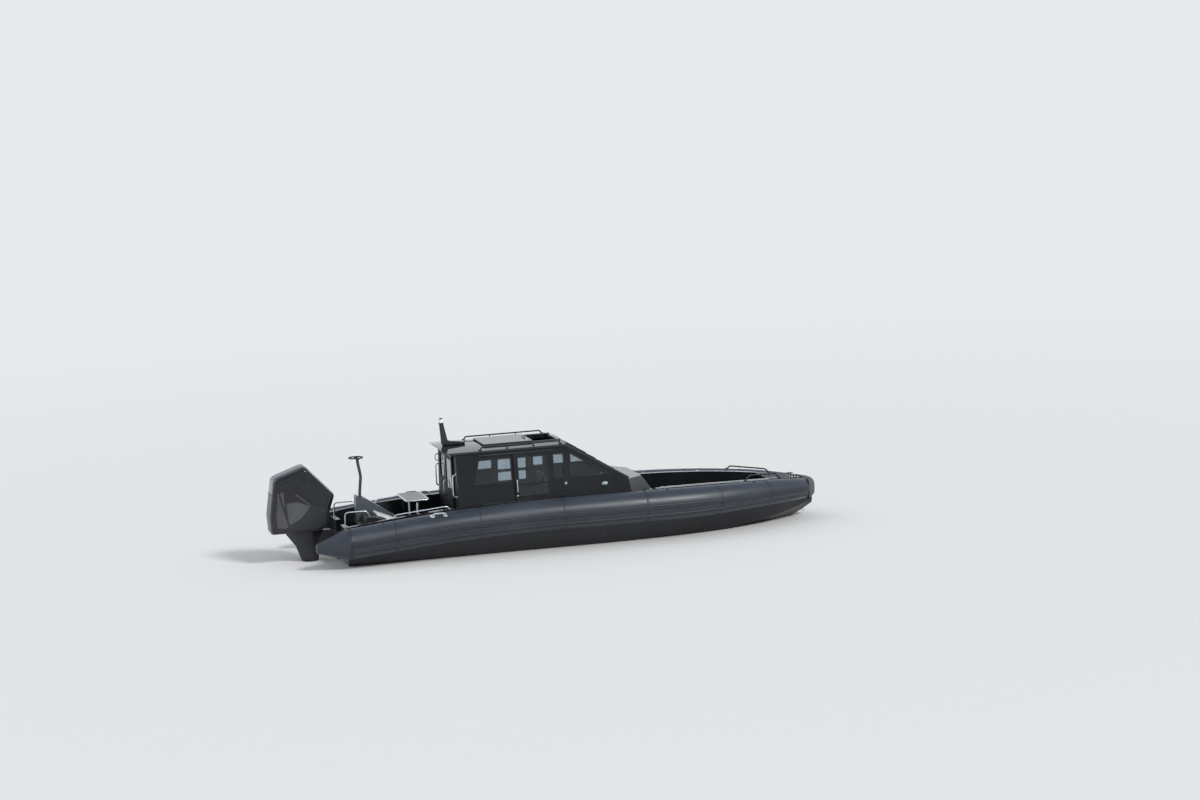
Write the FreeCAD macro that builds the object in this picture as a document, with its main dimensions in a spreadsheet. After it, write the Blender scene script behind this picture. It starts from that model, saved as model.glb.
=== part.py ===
import FreeCAD
import Part
import math
import os
import Sketcher

# Rigid inflatable cabin boat, ten metres long, with one large outboard engine.
# Frame: +X to the bow, +Y to port, +Z up, origin amidships on the waterline, millimetres.

Vector = FreeCAD.Vector
UP = Vector(0, 0, 1)
FAR = 20000.0

doc = FreeCAD.newDocument("inflatable_rib_boat")

# Driving sizes: name, value. Heights are above the waterline, x is forward of amidships.
SIZES = [
    # Hull, decks and bulwarks
    ("transom_x", -4400),
    ("transom_thick", 100),
    ("transom_top_z", 680),
    ("motor_notch_half", 300),
    ("motor_notch_z", 360),
    ("bulwark_thick", 130),
    ("sole_aft_z", 150),
    ("sole_cabin_z", 0),
    ("sole_bow_z", 230),
    ("bow_cockpit_front_x", 3950),
    ("foredeck_thick", 45),
    ("stem_notch_x", 4700),
    ("stem_notch_z", 380),
    ("bulkhead_thick", 120),
    ("cabin_ledge_z", 900),
    ("ledge_half", 1028),
    ("chine_flat", 40),
    # Tubes and nose
    ("nose_seam_x", 4780),
    ("nose_tip_x", 5000),
    ("nose_half_width", 448),
    ("nose_half_height", 192),
    ("nose_z", 562),
    ("nose_round", 135),
    ("cone_length", 560),
    ("cone_tip_radius", 95),
    ("strake_half_width", 48),
    ("strake_proud", 24),
    # Cabin shell
    ("cabin_aft_x", -2250),
    ("cabin_top_z", 1885),
    ("side_base_half", 975),
    ("side_top_half", 835),
    ("wall", 40),
    ("side_front_low_x", 1090),
    ("screen_top_x", -130),
    ("screen_base_x", 1050),
    ("screen_base_z", 1170),
    ("screen_thick", 40),
    ("screen_border", 85),
    ("screen_mullion", 60),
    ("brow_front_x", 1400),
    ("brow_front_z", 1150),
    ("brow_front_half", 550),
    ("brow_foot_x", 1560),
    ("brow_foot_half", 600),
    ("glass", 8),
    # Side windows
    ("window_head_z", 1745),
    ("aft_window_aft_low_x", -1910),
    ("aft_window_aft_high_x", -1815),
    ("aft_window_front_x", -1200),
    ("aft_window_sill_z", 1300),
    ("slot_window_aft_x", -385),
    ("slot_window_front_x", -185),
    ("slot_window_sill_z", 1290),
    ("front_window_aft_x", -55),
    ("front_window_sill_z", 1290),
    ("front_window_border", 95),
    # Side doors
    ("side_door_aft_x", -1160),
    ("side_door_front_x", -430),
    ("side_door_low_z", 946),
    ("side_door_high_z", 1826),
    ("door_overlap", 28),
    ("door_thick", 30),
    ("door_gap", 7),
    ("door_window_border", 80),
    ("door_bar_z", 1235),
    ("door_bar", 34),
    ("door_travel", 640),
    ("runner_gap", 0.3),
    ("runner_height", 24),
    ("runner_proud", 44),
    # Aft wall and its door
    ("aft_door_starboard_y", -620),
    ("aft_door_port_y", 30),
    ("aft_door_low_z", 196),
    ("aft_door_high_z", 1822),
    ("aft_door_window_z", 1180),
    ("aft_window_port_y", 700),
    ("aft_window_starboard_y", 170),
    ("aft_door_travel", 600),
    # Roof
    ("roof_aft_x", -2450),
    ("roof_half", 862),
    ("roof_edge", 38),
    ("roof_crown", 36),
    ("roof_aft_slant", 110),
    ("hatch_hole_aft_x", -720),
    ("hatch_hole_front_x", -190),
    ("hatch_hole_half", 430),
    ("hatch_length", 950),
    ("hatch_overlap", 50),
    ("hatch_half", 490),
    ("hatch_thick", 20),
    ("hatch_runner", 36),
    ("hatch_lift", 12),
    ("roof_rail_aft_x", -1760),
    ("roof_rail_front_x", -200),
    ("roof_rail_y", 775),
    ("roof_rail_rise", 62),
    ("mast_front_x", -1880),
    ("mast_aft_x", -2340),
    ("mast_top_z", 2390),
    ("mast_width", 56),
    ("mast_light_radius", 34),
    # Cabin inside
    ("console_aft_x", 560),
    ("console_front_x", 1000),
    ("console_y", -470),
    ("console_width", 620),
    ("console_top_z", 1050),
    ("wheel_x", 455),
    ("wheel_z", 965),
    ("wheel_radius", 175),
    ("wheel_rim", 15),
    ("wheel_tilt_angle", 28),
    ("wheel_shaft_radius", 16),
    ("seat_y", 470),
    ("seat_front_x", -90),
    ("seat_aft_x", -1560),
    ("seat_width", 460),
    ("seat_base_height", 520),
    ("cushion", 120),
    ("seat_back_height", 620),
    # Aft cockpit
    ("table_x", -2940),
    ("table_length", 470),
    ("table_width", 1000),
    ("table_top_z", 1050),
    ("table_thick", 30),
    ("table_rim", 32),
    ("table_leg_radius", 26),
    ("table_leg_y", 430),
    ("bench_front_x", -3200),
    ("bench_back_x", -3960),
    ("bench_half", 640),
    ("bench_low_z", 575),
    ("bench_high_z", 890),
    ("aft_deck_z", 600),
    ("pad_thick", 60),
    ("post_x", -3960),
    ("post_radius", 35),
    ("post_top_z", 1852),
    ("post_fairing_half", 105),
    ("post_fairing_z", 1110),
    ("ring_radius", 128),
    ("ring_tube", 19),
    ("ring_shift", 30),
    ("ring_plate_thick", 12),
    ("step_x", -2560),
    ("step_length", 380),
    ("step_z", 560),
    # Rails and cleats
    ("rail_radius", 14),
    ("bow_rail_aft_x", 3420),
    ("bow_rail_front_x", 4230),
    ("bow_rail_rise", 95),
    ("stern_rail_aft_x", -3520),
    ("stern_rail_front_x", -2430),
    ("stern_rail_rise", 60),
    ("hoop_y", 640),
    ("cleat_length", 150),
    ("cleat_x", 4580),
    ("cleat_y", 170),
    ("eye_radius", 28),
    ("eye_bore", 12),
    ("eye_thick", 12),
    ("eye_reach", 40),
    ("stern_eye_y", 560),
    ("stern_eye_z", 60),
    # Outboard engine
    ("tilt_x", -4500),
    ("tilt_z", 440),
    ("tilt_pin_radius", 22),
    ("clamp_inner", 95),
    ("clamp_thick", 34),
    ("swivel_gap", 5),
    ("cowl_half", 335),
    ("cowl_split_z", 1020),
    ("leg_x", -4960),
    ("leg_split_z", 20),
    ("leg_radius", 150),
    ("plate_z", -395),
    ("shaft_z", -625),
    ("torpedo_radius", 72),
    ("torpedo_nose_x", -4600),
    ("torpedo_tail_x", -5300),
    ("prop_radius", 198),
    ("prop_hub_radius", 66),
    ("prop_hub_length", 118),
    ("prop_gap", 6),
    ("skeg_z", -915),
]

# Hull sections from the transom to the stem. Columns: x, keel height, chine half-width and
# height, share of the chine flat, half-width and height of the sheer.
HULL_SECTIONS = [
    (-4400, -535, 985, -130, 1.0, 1040, 730),
    (-3000, -550, 995, -130, 1.0, 1046, 868),
    (-1300, -550, 1000, -128, 1.0, 1050, 936),
    (1100, -522, 990, -112, 1.0, 1052, 946),
    (2400, -448, 862, -42, 1.0, 962, 930),
    (3350, -318, 665, 50, 0.9, 772, 888),
    (4150, -122, 420, 152, 0.7, 440, 828),
    (4550, 22, 225, 222, 0.5, 215, 782),
    (4950, 238, 30, 300, 0.2, 40, 740),
]

# Tube centre line and size from the stern to the nose. Columns: x, half-width, height, radius.
TUBE_SECTIONS = [
    (-4440, 1268, 458, 285),
    (-2600, 1272, 606, 290),
    (-1300, 1272, 660, 292),
    (1100, 1272, 670, 296),
    (2400, 1172, 654, 288),
    (3350, 950, 644, 258),
    (4150, 612, 614, 230),
    (4560, 380, 584, 205),
    (4900, 96, 556, 182),
]


class Term:
    """A length together with the formula that gives it from the sheet."""

    def __init__(self, value, text):
        self.value = float(value)
        self.text = text

    def __float__(self):
        return self.value

    def __add__(self, other):
        return Term(self.value + float(other), "(%s + %s)" % (self.text, formula(other)))

    def __radd__(self, other):
        return Term(float(other) + self.value, "(%s + %s)" % (formula(other), self.text))

    def __sub__(self, other):
        return Term(self.value - float(other), "(%s - %s)" % (self.text, formula(other)))

    def __rsub__(self, other):
        return Term(float(other) - self.value, "(%s - %s)" % (formula(other), self.text))

    def __mul__(self, other):
        return Term(self.value * float(other), "(%s * %s)" % (self.text, formula(other)))

    def __rmul__(self, other):
        return Term(self.value * float(other), "(%s * %s)" % (formula(other), self.text))

    def __truediv__(self, other):
        return Term(self.value / float(other), "(%s / %s)" % (self.text, formula(other)))

    def __neg__(self):
        return Term(-self.value, "(-1 * %s)" % self.text)


def formula(number):
    """The sheet formula of a term, or a plain number in brackets."""
    if isinstance(number, Term):
        return number.text
    return "(%r)" % float(number)


class Sheet:
    """The spreadsheet of driving sizes, read by name."""

    def __init__(self, rows):
        self.page = doc.addObject("Spreadsheet::Sheet", "Sizes")
        for line, (name, value) in enumerate(rows, start=1):
            self.page.set("A%d" % line, name)
            self.page.set("B%d" % line, str(value))
            self.page.setAlias("B%d" % line, name)
        doc.recompute()

    def __getattr__(self, name):
        return Term(self.page.get(name), "Sizes." + name)


S = Sheet(SIZES)
NODES = {}


def keep(label, item):
    """Register an object as a sub-part under its label."""
    item.Label = label
    NODES[label] = item
    return item


def solid(label, shape):
    """A sub-part whose shape is worked out with the part functions."""
    item = doc.addObject("Part::Feature", label)
    where = shape.Placement
    item.Shape = shape
    item.Placement = where
    return keep(label, item)


def polygon_sketch(body, name, role, loops):
    """A sketch on one of the body's own planes, every corner bound to the sheet."""
    plane = [item for item in body.Origin.OriginFeatures if item.Role == role][0]
    sketch = body.newObject("Sketcher::SketchObject", name)
    sketch.AttachmentSupport = [(plane, "")]
    sketch.MapMode = "FlatFace"
    for loop in loops:
        first = sketch.GeometryCount
        count = len(loop)
        for step in range(count):
            start = loop[step]
            end = loop[(step + 1) % count]
            start_point = Vector(float(start[0]), float(start[1]), 0)
            end_point = Vector(float(end[0]), float(end[1]), 0)
            sketch.addGeometry(Part.LineSegment(start_point, end_point), False)
        for step in range(count):
            following = first + (step + 1) % count
            sketch.addConstraint(Sketcher.Constraint("Coincident", first + step, 2, following, 1))
        for step, corner in enumerate(loop):
            for kind, length in zip(("DistanceX", "DistanceY"), corner):
                rule = Sketcher.Constraint(kind, -1, 1, first + step, 1, float(length))
                number = sketch.addConstraint(rule)
                if isinstance(length, Term):
                    sketch.setExpression("Constraints[%d]" % number, length.text)
    return sketch


def new_body(label):
    """An empty body that will become a sub-part."""
    return keep(label, doc.addObject("PartDesign::Body", label))


def pad(body, role, loops, forward, backward):
    """Add material from a sketch, forward and backward of its plane."""
    feature = body.newObject("PartDesign::Pad", "Pad")
    feature.Profile = polygon_sketch(body, "Outline", role, loops)
    feature.SideType = "Two sides"
    feature.setExpression("Length", formula(forward))
    feature.setExpression("Length2", formula(backward))
    return feature


def pocket(body, role, loops):
    """Cut a sketch right through the body, both ways from its plane."""
    doc.recompute()
    before = body.Shape.Volume
    feature = body.newObject("PartDesign::Pocket", "Pocket")
    feature.Profile = polygon_sketch(body, "CutOut", role, loops)
    feature.SideType = "Symmetric"
    feature.Type = "ThroughAll"
    doc.recompute()
    if not body.Shape.Volume < before:
        raise RuntimeError("a pocket cut nothing from " + body.Label)
    return feature


def place(body, x=0, y=0, z=0):
    """Move a body, its place bound to the sheet."""
    for axis, length in zip("xyz", (x, y, z)):
        body.setExpression("Placement.Base." + axis, formula(length))


def plate(label, role, loops, thickness, x=0, y=0, z=0):
    """A flat plate with its cut-outs, its middle plane at the given place."""
    body = new_body(label)
    pad(body, role, loops, thickness / 2, thickness / 2)
    place(body, x, y, z)
    return body


def rectangle(low_u, high_u, low_v, high_v):
    """Four corners of a rectangle in a sketch."""
    return [(low_u, low_v), (high_u, low_v), (high_u, high_v), (low_u, high_v)]


def box(low, high):
    """A box shape between two corners."""
    sides = [float(high[i]) - float(low[i]) for i in range(3)]
    return Part.makeBox(sides[0], sides[1], sides[2], Vector(*[float(v) for v in low]))


def wire(points):
    """A closed polygon through points."""
    corners = [Vector(*[float(v) for v in point]) for point in points]
    return Part.makePolygon(corners + [corners[0]])


def prism(points, direction):
    """A polygon carried along a vector."""
    return Part.Face(wire(points)).extrude(direction)


def loft(wires, ruled=False):
    """A closed solid through wires."""
    return Part.makeLoft(wires, True, ruled)


def mirrored(shape):
    """The port copy of a starboard shape."""
    return shape.mirror(Vector(0, 0, 0), Vector(0, 1, 0))


def bent_bar(points, radius, bend):
    """A round bar along straight runs joined by tangent arcs."""
    corners = [Vector(*[float(v) for v in point]) for point in points]
    edges = []
    start = corners[0]
    for before, corner, after in zip(corners, corners[1:], corners[2:]):
        inward = (before - corner).normalize()
        outward = (after - corner).normalize()
        half = inward.getAngle(outward) / 2
        reach = float(bend) / math.tan(half)
        first = corner + inward * reach
        last = corner + outward * reach
        middle_way = (inward + outward).normalize()
        middle = corner + middle_way * (float(bend) / math.sin(half) - float(bend))
        edges.append(Part.LineSegment(start, first).toShape())
        edges.append(Part.Arc(first, middle, last).toShape())
        start = last
    edges.append(Part.LineSegment(start, corners[-1]).toShape())
    path = Part.Wire(edges)
    ring = Part.Circle(corners[0], corners[1] - corners[0], float(radius)).toShape()
    return path.makePipeShell([Part.Wire([ring])], True, False)


def compound(shapes):
    """Several solids as one shape."""
    return Part.makeCompound(shapes)


# Hull, decks and bulwarks

def hull_section(row):
    """The closed outline of the hull at one section."""
    x, keel_z, chine_y, chine_z, flat, sheer_y, sheer_z = row
    edge_y = chine_y + float(S.chine_flat) * flat
    half = [(chine_y, chine_z), (edge_y, chine_z), (sheer_y, sheer_z)]
    starboard = [(x, -y, z) for y, z in half]
    port = [(x, y, z) for y, z in reversed(half)]
    return wire([(x, 0, keel_z)] + starboard + port)


def inside_section(row):
    """A tall rectangle between the bulwarks at one section."""
    x = row[0]
    half = row[5] - float(S.bulwark_thick)
    return wire([(x, -half, -2000), (x, half, -2000), (x, half, 3000), (x, -half, 3000)])


def deck_section(row):
    """The layer just under the sheer at one section."""
    x = row[0]
    top = row[6]
    low = top - float(S.foredeck_thick)
    return wire([(x, -2000, low), (x, 2000, low), (x, 2000, top + 100), (x, -2000, top + 100)])


stem_notch = box((S.stem_notch_x, -FAR, S.stem_notch_z), (FAR, FAR, FAR))
outer_hull = loft([hull_section(row) for row in HULL_SECTIONS]).cut(stem_notch)
between_bulwarks = loft([inside_section(row) for row in HULL_SECTIONS if row[5] > S.bulwark_thick.value])
deck_layer = loft([deck_section(row) for row in HULL_SECTIONS])

well_aft_x = S.transom_x + S.transom_thick
bulkhead_aft_x = S.brow_foot_x - S.bulkhead_thick
decked_bow = box((S.bow_cockpit_front_x, -FAR, -FAR), (FAR, FAR, FAR))
above_aft_sole = box((-FAR, -FAR, S.sole_aft_z), (S.brow_foot_x, FAR, FAR))
above_bow_sole = box((S.brow_foot_x, -FAR, S.sole_bow_z), (S.bow_cockpit_front_x, FAR, FAR))
cabin_well = box((S.cabin_aft_x + S.wall, -FAR, S.sole_cabin_z), (bulkhead_aft_x, FAR, FAR))
cabin_seat = box((S.cabin_aft_x, -S.ledge_half, S.cabin_ledge_z), (S.brow_foot_x, S.ledge_half, FAR))
foredeck_shape = outer_hull.common(deck_layer).common(decked_bow)
above_soles = above_aft_sole.fuse(above_bow_sole)
hull_shape = outer_hull.cut([above_soles, cabin_well.common(between_bulwarks), foredeck_shape])
solid("hull", hull_shape)
solid("foredeck", foredeck_shape)
bulwarks = outer_hull.common(above_soles).cut([between_bulwarks, cabin_seat, decked_bow])
starboard_half = box((-FAR, -FAR, -FAR), (FAR, 0, FAR))
solid("bulwark_starboard", bulwarks.common(starboard_half))
solid("bulwark_port", bulwarks.cut(starboard_half))

transom_block = box((S.transom_x, -FAR, S.sole_aft_z), (well_aft_x, FAR, S.transom_top_z))
motor_notch = box((-FAR, -S.motor_notch_half, S.motor_notch_z), (well_aft_x, S.motor_notch_half, FAR))
solid("transom", transom_block.common(between_bulwarks).cut(motor_notch))
bulkhead_block = box((bulkhead_aft_x, -FAR, S.sole_aft_z), (S.brow_foot_x, FAR, S.cabin_ledge_z))
solid("fore_bulkhead", bulkhead_block.common(between_bulwarks))


# Inflated tubes, nose and rubbing strakes

def tube_frames():
    """Centre, direction along the tube and outward direction at each tube section."""
    centres = [Vector(x, -y, z) for x, y, z, radius in TUBE_SECTIONS]
    frames = []
    for index, centre in enumerate(centres):
        before = centres[max(index - 1, 0)]
        after = centres[min(index + 1, len(centres) - 1)]
        along = after - before
        along.z = 0
        along.normalize()
        frames.append((centre, along, along.cross(UP)))
    return frames


def tube_point(centre, outward, radius, angle):
    """A point on the tube's skin, the angle measured upward from outboard."""
    turn = math.radians(angle)
    return centre + outward * (radius * math.cos(turn)) + UP * (radius * math.sin(turn))


TUBE_FRAMES = tube_frames()
TUBE_SIDES = 16
TUBE_ARC = 152.0


def tube_ring(centre, outward, radius):
    """The tube's outline at a section, round outside and flat where it is bonded to the hull."""
    step = 2 * TUBE_ARC / TUBE_SIDES
    angles = [-TUBE_ARC + step * number for number in range(TUBE_SIDES + 1)]
    return wire([tuple(tube_point(centre, outward, radius, angle)) for angle in angles])


tube_rings = []
for (centre, along, outward), row in zip(TUBE_FRAMES, TUBE_SECTIONS):
    tube_rings.append(tube_ring(centre, outward, row[3]))
tip_centre = TUBE_FRAMES[0][0] + Vector(-S.cone_length.value, 0, -30)
tip_ring = tube_ring(tip_centre, TUBE_FRAMES[0][2], S.cone_tip_radius.value)
tube_body = loft(tube_rings).fuse(loft([tip_ring, tube_rings[0]], True))
beyond_seam = box((S.nose_seam_x, -FAR, -FAR), (FAR, FAR, FAR))
port_half = box((-FAR, 0, -FAR), (FAR, FAR, FAR))
tube_starboard = tube_body.cut([beyond_seam, port_half]).cut(outer_hull)
solid("tube_starboard", tube_starboard)
solid("tube_port", mirrored(tube_starboard))


def tube_strip(angle, half_width, proud):
    """A trapezium strip along the outside of the tube at one angle."""
    rings = []
    for (centre, along, outward), row in zip(TUBE_FRAMES, TUBE_SECTIONS):
        radius = row[3]
        spread = math.degrees(half_width / radius)
        corners = []
        for radial, share in ((-14, -1.0), (-14, 1.0), (proud, 0.7), (proud, -0.7)):
            corners.append(tube_point(centre, outward, radius + radial, angle + spread * share))
        rings.append(wire([tuple(corner) for corner in corners]))
    return loft(rings)


strake_width = S.strake_half_width.value
strake_solids = []
for strake_angle, width_share in ((2.0, 1.0), (-33.0, 0.6)):
    strip = tube_strip(strake_angle, strake_width * width_share, S.strake_proud.value * width_share)
    strake_solids.append(strip.cut([tube_body, beyond_seam]))
rub_strakes = compound(strake_solids)
solid("rub_strakes", compound([rub_strakes, mirrored(rub_strakes)]))

# The nose cap is turned about an upright axis behind the seam, its rim rounded like the tubes
nose_length = (S.nose_tip_x - S.nose_seam_x).value
nose_radius = (S.nose_half_width.value ** 2 + nose_length ** 2) / (2 * nose_length)
nose_high = S.nose_half_height.value
nose_round = S.nose_round.value
NOSE_FACETS = 3
rim_angles = [math.radians(90.0 * step / NOSE_FACETS) for step in range(NOSE_FACETS + 1)]
upper_rim = []
for angle in rim_angles:
    out = nose_radius - nose_round * (1 - math.cos(angle))
    upper_rim.append((out, 0, nose_high - nose_round * (1 - math.sin(angle))))
lower_rim = [(out, 0, -z) for out, side, z in reversed(upper_rim)]
nose_profile = wire([(0, 0, -nose_high)] + lower_rim + upper_rim + [(0, 0, nose_high)])
nose_block = Part.Face(nose_profile).revolve(Vector(0, 0, 0), UP, 180)
nose_block.rotate(Vector(0, 0, 0), UP, -90)
nose_block.translate(Vector(S.nose_tip_x.value - nose_radius, 0, S.nose_z.value))
nose_block = nose_block.common(beyond_seam)
solid("tube_nose", nose_block.cut(outer_hull))


# Cabin shell

screen_slope = (S.screen_base_z - S.cabin_top_z) / (S.screen_base_x - S.screen_top_x)


def screen_line_z(x, below):
    """Height of a line parallel to the windscreen's under side, some way below it."""
    return S.cabin_top_z + screen_slope * (x - S.screen_top_x) - below


aft_window = [
    (S.aft_window_aft_low_x, S.aft_window_sill_z),
    (S.aft_window_front_x, S.aft_window_sill_z),
    (S.aft_window_front_x, S.window_head_z),
    (S.aft_window_aft_high_x, S.window_head_z),
]
slot_window = rectangle(S.slot_window_aft_x, S.slot_window_front_x, S.slot_window_sill_z, S.window_head_z)
front_window_top_z = screen_line_z(S.front_window_aft_x, S.front_window_border)
front_window_tip_x = S.front_window_aft_x + (S.front_window_sill_z - front_window_top_z) / screen_slope
front_window = [
    (S.front_window_aft_x, S.front_window_sill_z),
    (front_window_tip_x, S.front_window_sill_z),
    (S.front_window_aft_x, front_window_top_z),
]
side_windows = [aft_window, slot_window, front_window]
side_doorway = rectangle(
    S.side_door_aft_x + S.door_overlap,
    S.side_door_front_x - S.door_overlap,
    S.side_door_low_z + S.door_overlap,
    S.side_door_high_z - S.door_overlap,
)
raked_front = [
    (S.side_front_low_x, S.cabin_ledge_z),
    (S.screen_base_x, S.screen_base_z),
    (S.screen_top_x, S.cabin_top_z),
    (S.screen_top_x, S.cabin_top_z + 50),
    (S.side_front_low_x + 50, S.cabin_top_z + 50),
    (S.side_front_low_x + 50, S.cabin_ledge_z),
]
side_lean = (S.side_base_half - S.side_top_half) / (S.cabin_top_z - S.cabin_ledge_z)


def side_half(z, outward=0):
    """Half-width of the cabin's leaning side at a height, shifted outward."""
    return S.side_base_half - side_lean * (z - S.cabin_ledge_z) + outward


def leaning_strip(side, low_z, high_z, inner, outer):
    """A section of a strip that leans with the cabin side, between two offsets from its skin."""
    return [
        (side_half(low_z, inner) * side, low_z),
        (side_half(low_z, outer) * side, low_z),
        (side_half(high_z, outer) * side, high_z),
        (side_half(high_z, inner) * side, high_z),
    ]


door_window_high = rectangle(
    S.side_door_aft_x + S.door_window_border,
    S.side_door_front_x - S.door_window_border,
    S.door_bar_z + S.door_bar / 2,
    S.side_door_high_z - S.door_window_border,
)
door_window_low = rectangle(
    S.side_door_aft_x + S.door_window_border,
    S.side_door_front_x - S.door_window_border,
    S.side_door_low_z + S.door_window_border,
    S.door_bar_z - S.door_bar / 2,
)
door_skin = S.door_gap + S.door_thick


def leaning_panes(side, outlines, inner):
    """Glass panes in the outlines, lying in the leaning side at one offset."""
    section = leaning_strip(side, S.cabin_ledge_z, S.cabin_top_z, inner, inner + S.glass)
    sheet_solid = prism([(-FAR / 4, y, z) for y, z in section], Vector(FAR / 2, 0, 0))
    panes = []
    for outline in outlines:
        cutter = prism([(x, -FAR / 4, z) for x, z in outline], Vector(0, FAR / 2, 0))
        panes.append(sheet_solid.common(cutter))
    return compound(panes)


fixed_panes = []
door_runners = []
for side, word in ((-1, "starboard"), (1, "port")):
    cabin_side = new_body("cabin_side_" + word)
    wall_section = leaning_strip(side, S.cabin_ledge_z, S.cabin_top_z, -S.wall, 0)
    pad(cabin_side, "YZ_Plane", [wall_section], S.side_front_low_x, -S.cabin_aft_x)
    pocket(cabin_side, "XZ_Plane", side_windows + [side_doorway, raked_front])

    side_door = new_body("side_door_" + word)
    door_section = leaning_strip(side, S.side_door_low_z, S.side_door_high_z, S.door_gap, door_skin)
    pad(side_door, "YZ_Plane", [door_section], S.side_door_front_x, -S.side_door_aft_x)
    pocket(side_door, "XZ_Plane", [
        rectangle(S.side_door_front_x, 500, S.side_door_low_z - 50, S.side_door_high_z + 50),
        door_window_high,
        door_window_low,
    ])

    fixed_panes.append(leaning_panes(side, side_windows, (S.wall + S.glass) / -2))
    door_panes = leaning_panes(side, [door_window_high, door_window_low], S.door_gap + S.door_thick / 2)
    solid("side_door_glass_" + word, door_panes)

    runner_front_x = S.side_door_front_x + 30
    runner_aft_x = S.side_door_aft_x - S.door_travel - 20
    low_top = S.side_door_low_z - S.runner_gap
    high_low = S.side_door_high_z + S.runner_gap
    for low_z, high_z in ((low_top - S.runner_height, low_top), (high_low, high_low + S.runner_height)):
        strip = leaning_strip(side, low_z, high_z, 0, S.runner_proud)
        points = [(runner_aft_x, y, z) for y, z in strip]
        door_runners.append(prism(points, Vector((runner_front_x - runner_aft_x).value, 0, 0)))

# Windscreen frame lies on the raked edges of the sides
screen_run = (S.screen_base_x - S.screen_top_x).value
screen_drop = (S.cabin_top_z - S.screen_base_z).value
screen_length = math.hypot(screen_run, screen_drop)
screen_angle = math.degrees(math.atan2(screen_drop, screen_run))
screen_place = FreeCAD.Placement(
    Vector(S.screen_top_x.value, 0, S.cabin_top_z.value),
    FreeCAD.Rotation(Vector(0, 1, 0), screen_angle),
)


def screen_half(along):
    """Half-width of the windscreen at a distance down its slope."""
    drop = along * screen_drop / screen_length
    return side_half(S.cabin_top_z - drop).value


def screen_pane(side):
    """Outline of one windscreen pane on the slope."""
    border = S.screen_border.value
    inner = S.screen_mullion.value / 2
    end = screen_length - border
    return [
        (border, side * inner, 0),
        (end, side * inner, 0),
        (end, side * (screen_half(end) - border), 0),
        (border, side * (screen_half(border) - border), 0),
    ]


screen_outline = [
    (0, -screen_half(0), 0),
    (screen_length, -screen_half(screen_length), 0),
    (screen_length, screen_half(screen_length), 0),
    (0, screen_half(0), 0),
]
screen_up = Vector(0, 0, S.screen_thick.value)
screen_frame = prism(screen_outline, screen_up)
screen_panes = [prism(screen_pane(side), screen_up) for side in (-1, 1)]
screen_frame = screen_frame.cut(screen_panes)
screen_frame.Placement = screen_place
solid("windscreen_frame", screen_frame.copy())
glass_raise = Vector(0, 0, (S.screen_thick.value - S.glass.value) / 2)
for side in (-1, 1):
    pane = prism(screen_pane(side), Vector(0, 0, S.glass.value))
    pane.translate(glass_raise)
    pane.Placement = screen_place.multiply(pane.Placement)
    fixed_panes.append(pane)

# Brow in front of the windscreen, a hollow shell open to the cabin
brow_low = [
    (S.side_front_low_x, -S.side_base_half, S.cabin_ledge_z),
    (S.brow_foot_x, -S.brow_foot_half, S.cabin_ledge_z),
    (S.brow_foot_x, S.brow_foot_half, S.cabin_ledge_z),
    (S.side_front_low_x, S.side_base_half, S.cabin_ledge_z),
]
screen_base_half = side_half(S.screen_base_z)
brow_high = [
    (S.screen_base_x, -screen_base_half, S.screen_base_z),
    (S.brow_front_x, -S.brow_front_half, S.brow_front_z),
    (S.brow_front_x, S.brow_front_half, S.brow_front_z),
    (S.screen_base_x, screen_base_half, S.screen_base_z),
]


def brow_inside(points, drop):
    """The brow's outline moved inward by the wall, its aft corners carried aft of the shell."""
    wall = S.wall.value
    moved = []
    for x, y, z in points:
        inward = -wall if y.value > 0 else wall
        is_front = x.value > S.side_front_low_x.value
        shift = -wall if is_front else -wall * 0.3
        moved.append((x.value + shift, y.value + inward, z.value + drop))
    return moved


brow_outer = loft([wire(brow_low), wire(brow_high)], True)
brow_hollow = loft([wire(brow_inside(brow_low, -1)), wire(brow_inside(brow_high, -S.wall.value))], True)
side_keepers = [NODES["cabin_side_starboard"], NODES["cabin_side_port"]]
doc.recompute()
brow_shape = brow_outer.cut([brow_hollow] + [item.Shape for item in side_keepers])
solid("cabin_brow", brow_shape)

# Aft wall, down to the sole between the bulwarks
aft_doorway = rectangle(
    S.aft_door_starboard_y + S.door_overlap,
    S.aft_door_port_y - S.door_overlap,
    S.aft_door_low_z + S.door_overlap,
    S.aft_door_high_z - S.door_overlap,
)
aft_port_window = rectangle(
    S.aft_window_starboard_y, S.aft_window_port_y, S.aft_window_sill_z, S.window_head_z
)
aft_blank = new_body("aft_wall_blank")
NODES.pop("aft_wall_blank")
aft_wall_outline = rectangle(-S.side_base_half, S.side_base_half, S.sole_aft_z, S.cabin_top_z)
pad(aft_blank, "YZ_Plane", [aft_wall_outline, aft_doorway, aft_port_window], S.wall, 0)
place(aft_blank, S.cabin_aft_x, 0, 0)
doc.recompute()
cutters = [NODES[name].Shape for name in ("bulwark_starboard", "bulwark_port")]
cutters += [item.Shape for item in side_keepers]
outside_sides = []
for side in (-1, 1):
    strip = leaning_strip(side, S.cabin_ledge_z, S.cabin_top_z, -1, 400)
    outside_sides.append(prism([(-FAR / 4, y, z) for y, z in strip], Vector(FAR / 2, 0, 0)))
solid("aft_wall", aft_blank.Shape.cut(cutters + outside_sides))
pane_x = S.cabin_aft_x + (S.wall - S.glass) / 2
aft_pane = box((pane_x, S.aft_window_starboard_y, S.aft_window_sill_z),
               (pane_x + S.glass, S.aft_window_port_y, S.window_head_z))
solid("cabin_glass", compound(fixed_panes + [aft_pane]))

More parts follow.
